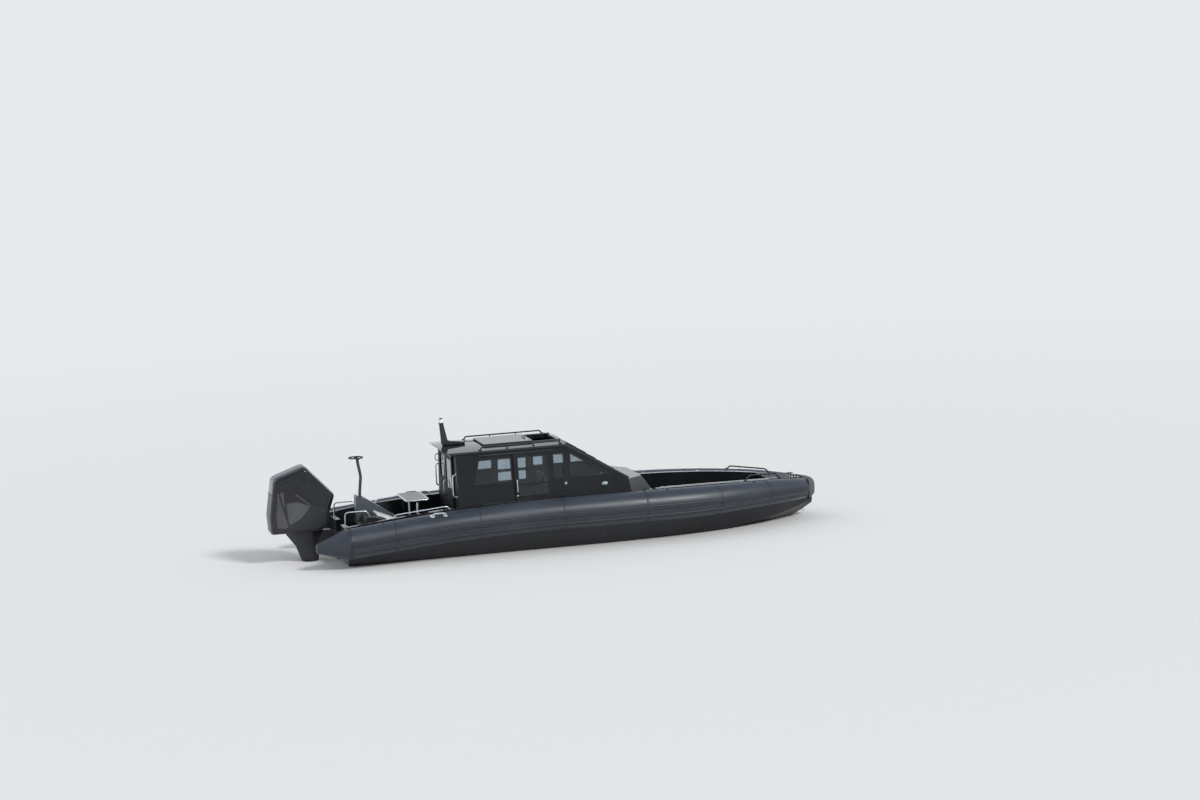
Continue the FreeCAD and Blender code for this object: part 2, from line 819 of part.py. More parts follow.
aft_door_outline = rectangle(
    S.aft_door_starboard_y, S.aft_door_port_y, S.aft_door_low_z, S.aft_door_high_z
)
aft_door_window = rectangle(
    S.aft_door_starboard_y + S.door_window_border,
    S.aft_door_port_y - S.door_window_border,
    S.aft_door_window_z,
    S.aft_door_high_z - S.door_window_border,
)
aft_door_x = S.cabin_aft_x - S.door_gap - S.door_thick / 2
plate("aft_door", "YZ_Plane", [aft_door_outline, aft_door_window], S.door_thick, aft_door_x)
plate("aft_door_glass", "YZ_Plane", [aft_door_window], S.glass, aft_door_x)
aft_runner_port_y = S.aft_door_port_y + S.aft_door_travel
for low_z in (S.aft_door_low_z - S.runner_gap - S.runner_height, S.aft_door_high_z + S.runner_gap):
    low = (S.cabin_aft_x - S.runner_proud, S.aft_door_starboard_y - 20, low_z)
    high = (S.cabin_aft_x, aft_runner_port_y + 20, low_z + S.runner_height)
    door_runners.append(box(low, high))
solid("door_runners", compound(door_runners))

# Roof with its hatch hole, raked ends and crown
roof_high_z = S.cabin_top_z + S.roof_edge
crown_z = roof_high_z + S.roof_crown
roof_face_edges = []
roof_corners = [(-1, S.cabin_top_z), (1, S.cabin_top_z), (1, roof_high_z), (-1, roof_high_z)]
roof_points = [Vector(S.roof_aft_x.value, side * S.roof_half.value, z.value) for side, z in roof_corners]
for first, last in ((0, 1), (1, 2), (3, 0)):
    roof_face_edges.append(Part.LineSegment(roof_points[first], roof_points[last]).toShape())
crown_point = Vector(S.roof_aft_x.value, 0, crown_z.value)
roof_face_edges.append(Part.Arc(roof_points[2], crown_point, roof_points[3]).toShape())
roof_face = Part.Face(Part.Wire(Part.__sortEdges__(roof_face_edges)))
lean_x = math.sin(math.radians(screen_angle))
lean_z = math.cos(math.radians(screen_angle))
roof_solid = roof_face.extrude(Vector((S.screen_top_x - S.roof_aft_x).value + 200, 0, 0))
front_rake = prism([
    (S.screen_top_x, -FAR / 4, S.cabin_top_z),
    (S.screen_top_x.value + lean_x * 200, -FAR / 4, S.cabin_top_z.value + lean_z * 200),
    (S.screen_top_x + 400, -FAR / 4, S.cabin_top_z + 300),
    (S.screen_top_x + 400, -FAR / 4, S.cabin_top_z),
], Vector(0, FAR / 2, 0))
aft_rake = prism([
    (S.roof_aft_x, -FAR / 4, crown_z - 20),
    (S.roof_aft_x, -FAR / 4, S.cabin_top_z),
    (S.roof_aft_x + S.roof_aft_slant, -FAR / 4, S.cabin_top_z),
], Vector(0, FAR / 2, 0))
hatch_hole = box((S.hatch_hole_aft_x, -S.hatch_hole_half, S.cabin_top_z - 100),
                 (S.hatch_hole_front_x, S.hatch_hole_half, S.cabin_top_z + 300))
roof_solid = roof_solid.cut([front_rake, aft_rake, hatch_hole])
solid("roof", roof_solid)

hatch_low_z = crown_z + S.hatch_lift
hatch_front_x = S.hatch_hole_aft_x + S.hatch_overlap
hatch_aft_x = hatch_front_x - S.hatch_length
hatch_outline = rectangle(hatch_aft_x, hatch_front_x, -S.hatch_half, S.hatch_half)
plate("roof_hatch", "XY_Plane", [hatch_outline], S.hatch_thick, 0, 0, hatch_low_z + S.hatch_thick / 2)
hatch_runner_list = []
runner_top_z = hatch_low_z - S.runner_gap
for side in (-1, 1):
    inner_y = (S.hatch_half - S.hatch_runner) * side
    outer_y = S.hatch_half * side
    low_y = min(inner_y.value, outer_y.value)
    high_y = max(inner_y.value, outer_y.value)
    runner = box((hatch_aft_x, low_y, S.cabin_top_z), (S.hatch_hole_front_x + 60, high_y, runner_top_z))
    hatch_runner_list.append(runner.cut(roof_solid))
solid("hatch_runners", compound(hatch_runner_list))

# Roof rails, cut to sit on the crown
roof_rails = []
rail_z = roof_high_z + S.roof_rail_rise
for side in (-1, 1):
    y = S.roof_rail_y * side
    points = [
        (S.roof_rail_aft_x, y, S.cabin_top_z + 10),
        (S.roof_rail_aft_x + 40, y, rail_z),
        (S.roof_rail_front_x - 40, y, rail_z),
        (S.roof_rail_front_x, y, S.cabin_top_z + 10),
    ]
    roof_rails.append(bent_bar(points, S.rail_radius, 30).cut(roof_solid))
solid("roof_rails", compound(roof_rails))

# Mast blade on its fairing, with the all-round light
mast_outline = [
    (S.mast_front_x, S.cabin_top_z + 30),
    (S.mast_front_x, crown_z + 50),
    (S.mast_aft_x + 130, crown_z + 95),
    (S.mast_aft_x + 60, S.mast_top_z),
    (S.mast_aft_x - 20, S.mast_top_z),
    (S.mast_aft_x, crown_z + 60),
    (S.mast_aft_x + 40, S.cabin_top_z + 30),
]
mast_blank = prism([(x, -S.mast_width / 2, z) for x, z in mast_outline], Vector(0, S.mast_width.value, 0))
solid("mast", mast_blank.cut(roof_solid))
light = keep("mast_light", doc.addObject("Part::Cylinder", "mast_light"))
light.setExpression("Radius", S.mast_light_radius.text)
light.setExpression("Height", (S.mast_light_radius * 2.6).text)
place(light, S.mast_aft_x + 20, 0, S.mast_top_z)

# Cabin inside: console, wheel and seats
console_back = S.console_aft_x
tilt = math.radians(S.wheel_tilt_angle.value)
slope_rise = 190
console_outline = [
    (console_back, S.sole_cabin_z),
    (S.console_front_x, S.sole_cabin_z),
    (S.console_front_x, S.console_top_z),
    (console_back + slope_rise * math.tan(tilt), S.console_top_z),
    (console_back, S.console_top_z - slope_rise),
]
plate("helm_console", "XZ_Plane", [console_outline], S.console_width, 0, S.console_y, 0)

wheel_turn = FreeCAD.Rotation(Vector(0, 1, 0), -90 + S.wheel_tilt_angle.value)
wheel_centre = Vector(S.wheel_x.value, S.console_y.value, S.wheel_z.value)
wheel_parts = [Part.makeTorus(S.wheel_radius.value, S.wheel_rim.value)]
for spoke in range(3):
    bar = Part.makeCylinder(11, S.wheel_radius.value, Vector(0, 0, 0), Vector(1, 0, 0))
    bar.rotate(Vector(0, 0, 0), UP, 90 + 120 * spoke)
    wheel_parts.append(bar)
wheel_parts.append(Part.makeCylinder(42, 34, Vector(0, 0, -14), UP))
face_gap = Vector(console_back.value, 0, S.console_top_z.value - slope_rise) - wheel_centre
face_distance = face_gap.x * math.cos(tilt) - face_gap.z * math.sin(tilt)
shaft_length = face_distance - S.runner_gap.value
wheel_parts.append(Part.makeCylinder(S.wheel_shaft_radius.value, shaft_length, Vector(0, 0, 0), Vector(0, 0, -1)))
wheel_shape = wheel_parts[0].fuse(wheel_parts[1:])
wheel_shape.Placement = FreeCAD.Placement(wheel_centre, wheel_turn)
solid("steering_wheel", wheel_shape.copy())

def square_wire(x, y, z, half):
    """A level square about a point."""
    return wire([(x - half, y - half, z), (x + half, y - half, z), (x + half, y + half, z), (x - half, y + half, z)])


seat_places = [(x, side) for x in (S.seat_front_x, S.seat_aft_x) for side in (-1, 1)]
bases = []
cushions = []
backs = []
for seat_x, side in seat_places:
    x = seat_x.value
    y = S.seat_y.value * side
    half = S.seat_width.value / 2
    seat_z = S.sole_cabin_z.value + S.seat_base_height.value
    cushion_z = seat_z + S.cushion.value
    pedestal = loft([square_wire(x, y, S.sole_cabin_z.value, half * 0.72), square_wire(x, y, seat_z, half * 0.9)], True)
    bases.append(pedestal)
    cushions.append(box((x - half, y - half, seat_z), (x + half, y + half, cushion_z)))
    section = [
        (x - half, y - half, cushion_z),
        (x - half + 110, y - half, cushion_z),
        (x - half + 30, y - half, cushion_z + S.seat_back_height.value),
        (x - half - 60, y - half, cushion_z + S.seat_back_height.value),
    ]
    backs.append(prism(section, Vector(0, 2 * half, 0)))
solid("seat_pedestals", compound(bases))
solid("seat_cushions", compound(cushions))
solid("seat_backs", compound(backs))

# Aft cockpit: bench with the tow post, table and step
bench_outline = [
    (well_aft_x, S.sole_aft_z),
    (S.bench_front_x + 60, S.sole_aft_z),
    (S.bench_front_x, S.bench_low_z),
    (S.bench_back_x + 170, S.bench_high_z - S.pad_thick),
    (S.bench_back_x, S.bench_high_z - S.pad_thick),
    (S.bench_back_x, S.aft_deck_z),
    (S.bench_back_x - 40, S.aft_deck_z),
    (S.bench_back_x - 40, S.motor_notch_z),
    (well_aft_x, S.motor_notch_z),
]
plate("aft_bench", "XZ_Plane", [bench_outline], S.bench_half * 2)
pad_slope = (S.bench_low_z - S.bench_high_z + S.pad_thick) / (S.bench_front_x - S.bench_back_x - 170)
pads = []
for side in (-1, 1):
    start_x = S.bench_back_x + 190
    end_x = S.bench_front_x - 20
    corner_z = S.bench_high_z - S.pad_thick
    low_start = corner_z + pad_slope * (start_x - S.bench_back_x - 170)
    low_end = corner_z + pad_slope * (end_x - S.bench_back_x - 170)
    inner_y = side * (S.post_fairing_half.value + 12)
    outer_y = side * (S.bench_half.value - 15)
    section = [
        (start_x, inner_y, low_start),
        (end_x, inner_y, low_end),
        (end_x, inner_y, low_end + S.pad_thick),
        (start_x, inner_y, low_start + S.pad_thick),
    ]
    pads.append(prism(section, Vector(0, outer_y - inner_y, 0)))
solid("bench_pads", compound(pads))
doc.recompute()

fairing_outline = [
    (S.post_x - 95, S.bench_high_z - S.pad_thick - 120),
    (S.post_x - 95, S.post_fairing_z + 30),
    (S.post_x - 55, S.post_fairing_z + 60),
    (S.post_x - 30, S.post_fairing_z),
    (S.post_x + 80, S.post_fairing_z),
    (S.bench_front_x - 150, S.bench_low_z + 180),
    (S.bench_front_x - 150, S.bench_low_z - 60),
]
fairing_half = S.post_fairing_half.value
fairing_blank = prism([(x, -fairing_half, z) for x, z in fairing_outline], Vector(0, 2 * fairing_half, 0))
below_bench = box((S.bench_back_x - 40, -FAR, -FAR), (FAR, FAR, S.aft_deck_z))
post_pin = Part.makeCylinder(S.post_radius.value, 400, Vector(S.post_x.value, 0, S.post_fairing_z.value - 60), UP)
bench_shape = NODES["aft_bench"].Shape
solid("tow_post_fairing", fairing_blank.cut([bench_shape, below_bench, post_pin]))
pole_points = [
    (S.post_x, 0, S.post_fairing_z - 60),
    (S.post_x + 10, 0, S.post_fairing_z + 120),
    (S.post_x + 45, 0, S.post_fairing_z + 400),
    (S.post_x, 0, S.post_top_z - 60),
    (S.post_x, 0, S.post_top_z),
]
pole = bent_bar(pole_points, S.post_radius * 0.8, 250)
solid("tow_post", pole.cut(NODES["tow_post_fairing"].Shape))
ring_x = S.post_x - S.ring_shift
ring_torus = Part.makeTorus(S.ring_radius.value, S.ring_tube.value,
                            Vector(ring_x.value, 0, (S.post_top_z + S.ring_tube).value))
ring_plate = box((ring_x - S.ring_shift / 2, -S.ring_radius, S.post_top_z),
                 (S.post_x + S.post_radius, S.ring_radius, S.post_top_z + S.ring_plate_thick))
solid("tow_ring", ring_torus.fuse(ring_plate))

table_half_x = S.table_length / 2
table_half_y = S.table_width / 2
table_inner = rectangle(S.table_rim - table_half_x, table_half_x - S.table_rim,
                        S.table_rim - table_half_y, table_half_y - S.table_rim)
table_mid_z = S.table_top_z - S.table_thick / 2
table_outer = rectangle(-table_half_x, table_half_x, -table_half_y, table_half_y)
table_ring = new_body("table_ring")
NODES.pop("table_ring")
pad(table_ring, "XY_Plane", [table_outer, table_inner], S.table_thick / 2, S.table_thick / 2)
place(table_ring, S.table_x, 0, table_mid_z)
plate("table_board", "XY_Plane", [table_inner], S.table_thick - 8, S.table_x, 0, table_mid_z - 2)
doc.recompute()
table_parts = [table_ring.Shape]
for side in (-1, 1):
    foot = Vector(S.table_x.value, side * S.table_leg_y.value, S.sole_aft_z.value)
    leg_height = (table_mid_z - 2 - (S.table_thick - 8) / 2 - S.sole_aft_z).value
    leg = Part.makeCylinder(S.table_leg_radius.value, leg_height, foot, UP)
    flange = Part.makeCylinder(S.table_leg_radius.value * 2.4, 12, foot, UP)
    table_parts.append(leg.fuse(flange))
solid("table_frame", compound(table_parts))

step_half = S.step_length / 2
steps = []
for side in (-1, 1):
    low_y = 560 if side > 0 else -1200
    block = box((S.step_x - step_half, low_y, S.sole_aft_z), (S.step_x + step_half, low_y + 640, S.step_z))
    steps.append(block.common(between_bulwarks))
solid("cabin_steps", compound(steps))


# Rails, hoops and cleats, seated on the sheer

def sheer_at(x):
    """Half-width and height of the sheer, read from the hull's own section."""
    outline = outer_hull.slice(Vector(1, 0, 0), x)[0]
    corner = max((vertex.Point for vertex in outline.Vertexes), key=lambda point: point.z)
    return abs(corner.y), corner.z


def rail_on_sheer(aft_x, front_x, rise, inset, lean):
    """A low rail whose feet stand on the starboard sheer."""
    foot_y, foot_z = sheer_at(aft_x)
    nose_y, nose_z = sheer_at(front_x)
    points = [
        (aft_x, -(foot_y - inset), foot_z - 30),
        (aft_x + lean, -(foot_y - inset), foot_z + rise),
        (front_x - lean, -(nose_y - inset), nose_z + rise),
        (front_x, -(nose_y - inset), nose_z - 30),
    ]
    return bent_bar(points, S.rail_radius, 40).cut(outer_hull)


bow_rail = rail_on_sheer(S.bow_rail_aft_x.value, S.bow_rail_front_x.value, S.bow_rail_rise.value, 65, 90)
stern_rail = rail_on_sheer(S.stern_rail_aft_x.value, S.stern_rail_front_x.value, S.stern_rail_rise.value, 40, 60)
solid("bow_rails", compound([bow_rail, mirrored(bow_rail)]))

hoops = []
for side in (-1, 1):
    y = side * S.hoop_y.value
    hoop = bent_bar([
        (S.transom_x + 40, y, S.transom_top_z - 20),
        (S.transom_x + 40, y, S.transom_top_z + 270),
        (S.bench_back_x + 20, y, S.transom_top_z + 270),
        (S.bench_back_x + 60, y, S.bench_high_z - S.pad_thick - 20),
    ], S.rail_radius, 70)
    hoops.append(hoop.cut([NODES["transom"].Shape, NODES["aft_bench"].Shape]))
solid("stern_rails", compound([stern_rail, mirrored(stern_rail)] + hoops))

cleats = []
for side in (-1, 1):
    y = side * S.cleat_y.value
    deck_z = sheer_at(S.cleat_x.value)[1]
    horn = Part.makeCylinder(9, S.cleat_length.value, Vector(S.cleat_x.value - 75, y, deck_z + 42), Vector(1, 0, 0))
    for shift in (-26, 26):
        post = Part.makeCylinder(8, 80, Vector(S.cleat_x.value + shift, y, deck_z - 38), UP)
        horn = horn.fuse(post)
    cleats.append(horn.cut(outer_hull))
solid("bow_cleats", compound(cleats))

# Towing eyes, one under the stem and two on the stern, each a lug with a bore across the boat
stem_low = HULL_SECTIONS[-2]
stem_high = HULL_SECTIONS[-1]
stem_share = 0.5
stem_run = Vector(stem_high[0] - stem_low[0], 0, stem_high[1] - stem_low[1])
stem_point = Vector(stem_low[0], 0, stem_low[1]) + stem_run * stem_share
stem_run.normalize()
eyes = []
for root_point, out in (
    (stem_point, Vector(stem_run.z, 0, -stem_run.x)),
    (Vector(S.transom_x.value, -S.stern_eye_y.value, S.stern_eye_z.value), Vector(-1, 0, 0)),
    (Vector(S.transom_x.value, S.stern_eye_y.value, S.stern_eye_z.value), Vector(-1, 0, 0)),
):
    across = Vector(0, 1, 0)
    start = root_point - across * (S.eye_thick.value / 2)
    eye_centre = start + out * S.eye_reach.value
    side_way = out.cross(across) * S.eye_radius.value
    root = start - out * S.eye_reach.value
    lug = prism([tuple(root - side_way), tuple(root + side_way),
                 tuple(eye_centre + side_way), tuple(eye_centre - side_way)], across * S.eye_thick.value)
    lug = lug.fuse(Part.makeCylinder(S.eye_radius.value, S.eye_thick.value, eye_centre, across))
    bore = Part.makeCylinder(S.eye_bore.value, 3 * S.eye_thick.value, eye_centre - across * S.eye_thick.value, across)
    eyes.append(lug.cut([bore, outer_hull]))
solid("towing_eyes", compound(eyes))
print("stem eye centre", stem_point + Vector(stem_run.z, 0, -stem_run.x) * S.eye_reach.value)

# Outboard engine: clamp bracket, midsection, cowl, steering leg and two propellers
pin = Vector(S.tilt_x.value, 0, S.tilt_z.value)
clamp_outer = S.clamp_inner + S.clamp_thick
clamp_outline = [
    (S.tilt_x - 55, S.tilt_z - 10),
    (S.tilt_x - 55, S.tilt_z + 45),
    (S.tilt_x - 20, S.motor_notch_z + 160),
    (well_aft_x + 60, S.motor_notch_z + 90),
    (well_aft_x + 60, S.motor_notch_z),
    (S.transom_x, S.motor_notch_z),
    (S.transom_x, S.motor_notch_z - 420),
    (S.transom_x - 60, S.motor_notch_z - 420),
]
clamp_ears = []
for side in (-1, 1):
    start_y = side * S.clamp_inner.value
    ear = prism([(x, start_y, z) for x, z in clamp_outline], Vector(0, side * S.clamp_thick.value, 0))
    clamp_ears.append(ear)
bracket_bridge = box((S.transom_x - 30, -clamp_outer, S.motor_notch_z - 300),
                     (S.transom_x, clamp_outer, S.motor_notch_z - 60))
tilt_pin_length = 2 * clamp_outer.value + 30
tilt_pin = Part.makeCylinder(S.tilt_pin_radius.value, tilt_pin_length,
                             pin - Vector(0, tilt_pin_length / 2, 0), Vector(0, 1, 0))
clamp_shape = clamp_ears[0].fuse([clamp_ears[1], bracket_bridge, tilt_pin])
bench_relief = NODES["aft_bench"].Shape
solid("clamp_bracket", clamp_shape.cut([bench_relief, NODES["transom"].Shape, hull_shape]))

swivel_half = S.clamp_inner - S.swivel_gap
swivel_outline = [
    (S.tilt_x + 40, S.tilt_z - 40),
    (S.tilt_x + 40, S.tilt_z + 45),
    (S.tilt_x - 60, S.tilt_z + 130),
    (S.leg_x + 120, S.tilt_z + 130),
    (S.leg_x + 120, S.tilt_z - 330),
    (S.tilt_x - 110, S.tilt_z - 330),
    (S.tilt_x - 60, S.tilt_z - 60),
]
swivel_block = prism([(x, -swivel_half, z) for x, z in swivel_outline], Vector(0, 2 * swivel_half.value, 0))
pin_clear = Part.makeCylinder(S.tilt_pin_radius.value + 0.05, 600, pin - Vector(0, 300, 0), Vector(0, 1, 0))
midsection_rings = []
for z, front_x, rear_x, half in (
    (S.leg_split_z + 0.3, S.leg_x + 150, S.leg_x - 170, 120),
    (S.tilt_z - 150, S.leg_x + 160, S.leg_x - 260, 135),
    (S.cowl_split_z - 440, S.leg_x + 250, S.leg_x - 470, 210),
):
    midsection_rings.append(wire([
        (front_x, -half * 0.5, z), (front_x, half * 0.5, z),
        (S.leg_x + 40, half, z), (rear_x + 120, half, z), (rear_x, half * 0.4, z),
        (rear_x, -half * 0.4, z), (rear_x + 120, -half, z), (S.leg_x + 40, -half, z),
    ]))
midsection = loft(midsection_rings, True)
solid("engine_midsection", midsection.fuse(swivel_block).cut(pin_clear))


def cowl_loft(profile, halves, shrink):
    """A crowned cover lofted across the engine from one side profile."""
    centre_x = sum(float(x) for x, z in profile) / len(profile)
    centre_z = sum(float(z) for x, z in profile) / len(profile)
    rings = []
    for y, scale in ((-halves, shrink), (-halves * 0.72, 1.0), (halves * 0.72, 1.0), (halves, shrink)):
        ring = []
        for x, z in profile:
            ring.append((centre_x + (float(x) - centre_x) * scale, y, centre_z + (float(z) - centre_z) * scale))
        rings.append(wire(ring))
    return loft(rings, True)


lower_profile = [
    (-5700, 580), (-5715, 900), (-5640, 1330), (-5250, 1290), (-4870, 1090), (-4560, 985), (-4640, 640), (-4800, 580),
]
upper_profile = [
    (-5640, 1331), (-5600, 1600), (-5500, 1655), (-5000, 1820), (-4945, 1800), (-4460, 1240), (-4560, 986),
    (-4870, 1091), (-5250, 1291),
]
cowl_low_shape = cowl_loft(lower_profile, S.cowl_half.value * 0.96, 0.93)
cowl_top_shape = cowl_loft(upper_profile, S.cowl_half.value, 0.9)
solid("cowl_lower", cowl_low_shape.cut([NODES["engine_midsection"].Shape, cowl_top_shape]))
solid("cowl_upper", cowl_top_shape)

leg_centre = Vector(S.leg_x.value, 0, 0)
flange_z = S.leg_split_z.value - 24
flange = Part.makeCylinder(S.leg_radius.value, 24, leg_centre + UP * flange_z, UP)
strut_rings = []
for z, front_x, rear_x, half in (
    (flange_z, S.leg_x + 140, S.leg_x - 150, 95),
    (S.plate_z, S.leg_x + 150, S.leg_x - 190, 60),
    (S.shaft_z, S.leg_x + 230, S.leg_x - 220, 52),
):
    strut_rings.append(wire([
        (front_x, 0, z), (front_x - 90, half, z), (rear_x + 110, half, z),
        (rear_x, 0, z), (rear_x + 110, -half, z), (front_x - 90, -half, z),
    ]))
strut = loft(strut_rings, True)
anti_plate = prism([
    (S.leg_x + 220, 0, S.plate_z), (S.leg_x + 120, 120, S.plate_z), (S.leg_x - 480, 150, S.plate_z),
    (S.leg_x - 520, 100, S.plate_z), (S.leg_x - 520, -100, S.plate_z), (S.leg_x - 480, -150, S.plate_z),
    (S.leg_x + 120, -120, S.plate_z),
], Vector(0, 0, 16))
nose_length = 210.0
torpedo_points = [
    Vector(S.torpedo_nose_x.value, 0, 0),
    Vector(S.torpedo_nose_x.value - nose_length, 0, S.torpedo_radius.value),
    Vector(S.torpedo_tail_x.value, 0, S.prop_hub_radius.value),
    Vector(S.torpedo_tail_x.value, 0, 0),
]
nose_middle = Vector(S.torpedo_nose_x.value - nose_length * 0.36, 0, S.torpedo_radius.value * 0.72)
torpedo_edges = [
    Part.Arc(torpedo_points[0], nose_middle, torpedo_points[1]).toShape(),
    Part.LineSegment(torpedo_points[1], torpedo_points[2]).toShape(),
    Part.LineSegment(torpedo_points[2], torpedo_points[3]).toShape(),
    Part.LineSegment(torpedo_points[3], torpedo_points[0]).toShape(),
]
torpedo = Part.Face(Part.Wire(torpedo_edges)).revolve(Vector(0, 0, 0), Vector(1, 0, 0), 360)
torpedo.translate(UP * S.shaft_z.value)
skeg = loft([
    wire([(S.leg_x + 120, -14, S.shaft_z - 40), (S.leg_x + 120, 14, S.shaft_z - 40),
          (S.leg_x - 260, 10, S.shaft_z - 40), (S.leg_x - 260, -10, S.shaft_z - 40)]),
    wire([(S.leg_x - 40, -5, S.skeg_z), (S.leg_x - 40, 5, S.skeg_z),
          (S.leg_x - 260, 4, S.skeg_z + 20), (S.leg_x - 260, -4, S.skeg_z + 20)]),
], True)
prop_front_x = S.torpedo_tail_x - S.prop_gap
prop_rear_x = prop_front_x - S.prop_hub_length - S.prop_gap
shaft_radius = 24.0
tail_x = prop_rear_x - S.prop_hub_length - 30
prop_shaft = Part.makeCylinder(shaft_radius, (S.torpedo_tail_x - tail_x).value,
                               Vector(tail_x.value, 0, S.shaft_z.value), Vector(1, 0, 0))
prop_nut = Part.makeCylinder(34, 26, Vector(tail_x.value - 4, 0, S.shaft_z.value), Vector(1, 0, 0))
solid("steering_leg", flange.fuse([strut, anti_plate, torpedo, skeg, prop_shaft, prop_nut]))


def blade(hand, pitch, turn):
    """One blade lofted through thin lens sections that twist with the pitch."""
    hub = S.prop_hub_radius.value
    tip = S.prop_radius.value
    rings = []
    for share, chord, thick, skew in ((-0.12, 96, 15, 0), (0.3, 132, 10, 6), (0.72, 128, 6, 18), (1.0, 62, 3, 34)):
        radius = hub + (tip - hub) * share
        angle = math.atan2(pitch, 2 * math.pi * radius)
        ring = []
        for along, off in ((-0.5, 0), (0, 0.5), (0.5, 0), (0, -0.5)):
            down = along * chord
            across = off * thick
            x = down * math.sin(angle) + across * math.cos(angle)
            y = hand * (down * math.cos(angle) - across * math.sin(angle) + skew)
            ring.append((x, y, radius))
        rings.append(wire(ring))
    shape = loft(rings, True)
    shape.rotate(Vector(0, 0, 0), Vector(1, 0, 0), turn)
    return shape


def propeller(blades, hand):
    """Hub, its shaft bore and its blades, centred on the shaft line."""
    length = S.prop_hub_length.value
    hub = Part.makeCylinder(S.prop_hub_radius.value, length, Vector(-length / 2, 0, 0), Vector(1, 0, 0))
    shape = hub.fuse([blade(hand, 560, 360.0 * number / blades) for number in range(blades)])
    bore = Part.makeCylinder(shaft_radius + 0.05, length * 2, Vector(-length, 0, 0), Vector(1, 0, 0))
    return shape.cut(bore)


for label, blades, hand, front_x in (("prop_front", 4, 1, prop_front_x), ("prop_rear", 3, -1, prop_rear_x)):
    shape = propeller(blades, hand)
    shape.translate(Vector((front_x - S.prop_hub_length / 2).value, 0, S.shaft_z.value))
    solid(label, shape)

# Check every object, then write the sub-parts
doc.recompute()
for item in doc.Objects:
    for word in item.State:
        if word in ("Invalid", "Error"):
            raise RuntimeError("%s is in state %s" % (item.Label, word))
for label, item in NODES.items():
    if item.Shape.isNull() or not item.Shape.isValid() or not item.Shape.Solids:
        raise RuntimeError("sub-part %s has no valid shape" % label)
os.makedirs("parts", exist_ok=True)
for label, item in NODES.items():
    item.Shape.exportStep("parts/%s.step" % label)
    print("%-24s solids %2d  volume %8.2f litres" % (label, len(item.Shape.Solids), item.Shape.Volume / 1e6))
print("sub-parts:", len(NODES))
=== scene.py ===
"""Visual model of a rigid inflatable cabin boat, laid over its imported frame.

Frame: +X to the bow, +Y to port, +Z up, origin amidships on the waterline, metres.
"""
import logging
import math
from dataclasses import dataclass, field
from enum import Enum
from typing import Any, Sequence

import bmesh
import bpy
import numpy as np
from mathutils import Matrix, Vector


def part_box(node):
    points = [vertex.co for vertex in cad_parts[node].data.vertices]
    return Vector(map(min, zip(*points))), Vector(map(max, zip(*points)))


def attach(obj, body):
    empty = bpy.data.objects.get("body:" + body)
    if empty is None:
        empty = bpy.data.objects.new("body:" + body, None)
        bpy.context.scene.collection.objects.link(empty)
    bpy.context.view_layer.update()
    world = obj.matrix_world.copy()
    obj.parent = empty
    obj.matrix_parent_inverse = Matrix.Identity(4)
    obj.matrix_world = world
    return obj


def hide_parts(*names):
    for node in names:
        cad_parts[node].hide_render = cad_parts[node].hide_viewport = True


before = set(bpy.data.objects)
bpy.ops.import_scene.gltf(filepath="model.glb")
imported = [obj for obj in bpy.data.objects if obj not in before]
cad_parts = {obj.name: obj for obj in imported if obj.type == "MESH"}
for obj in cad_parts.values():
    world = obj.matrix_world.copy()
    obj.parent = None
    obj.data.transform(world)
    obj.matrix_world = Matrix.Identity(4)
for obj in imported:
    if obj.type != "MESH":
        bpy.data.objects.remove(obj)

Array = np.ndarray
Colour = tuple[float, float, float]
Point = tuple[float, float, float]
Profile = Sequence[tuple[float, float]]
Material = bpy.types.Material
Node = bpy.types.Node
Object = bpy.types.Object
Socket = bpy.types.NodeSocket
AHEAD, PORT, UP = np.eye(3)
log = logging.getLogger("boat")

HULL_HALF = 1.05

# Hull sections: x, keel z, chine half-width as a share, chine z, chine flat, sheer share, sheer z
HULL_ROWS = np.array([
    (-4.400, -0.535, 0.938, -0.130, 1.0, 0.990, 0.730),
    (-3.000, -0.550, 0.948, -0.130, 1.0, 0.996, 0.868),
    (-1.300, -0.550, 0.952, -0.128, 1.0, 1.000, 0.936),
    (1.100, -0.522, 0.943, -0.112, 1.0, 1.002, 0.946),
    (2.400, -0.448, 0.821, -0.042, 1.0, 0.916, 0.930),
    (3.350, -0.318, 0.633, 0.050, 0.9, 0.735, 0.888),
    (4.150, -0.122, 0.400, 0.152, 0.7, 0.419, 0.828),
    (4.550, 0.022, 0.214, 0.222, 0.5, 0.205, 0.782),
    (4.950, 0.238, 0.029, 0.300, 0.2, 0.038, 0.740),
])

# Tube centre line: x, half-width as a share, z, radius
TUBE_ROWS = np.array([
    (-4.440, 1.208, 0.458, 0.285),
    (-2.600, 1.211, 0.606, 0.290),
    (-1.300, 1.211, 0.660, 0.292),
    (1.100, 1.211, 0.670, 0.296),
    (2.400, 1.116, 0.654, 0.288),
    (3.350, 0.905, 0.644, 0.258),
    (4.150, 0.583, 0.614, 0.230),
    (4.560, 0.362, 0.584, 0.205),
    (4.900, 0.091, 0.556, 0.182),
])


class Body(Enum):
    """The moving bodies that a piece can ride on."""

    ROOT = "root"
    HATCH = "roof_hatch"
    AFT_DOOR = "aft_door"
    STARBOARD_DOOR = "side_door_starboard"
    PORT_DOOR = "side_door_port"
    WHEEL = "steering_wheel"
    OUTBOARD = "outboard"
    GEARCASE = "gearcase"
    FRONT_PROPELLER = "prop_front"
    REAR_PROPELLER = "prop_rear"


# Shapes worked out as whole arrays


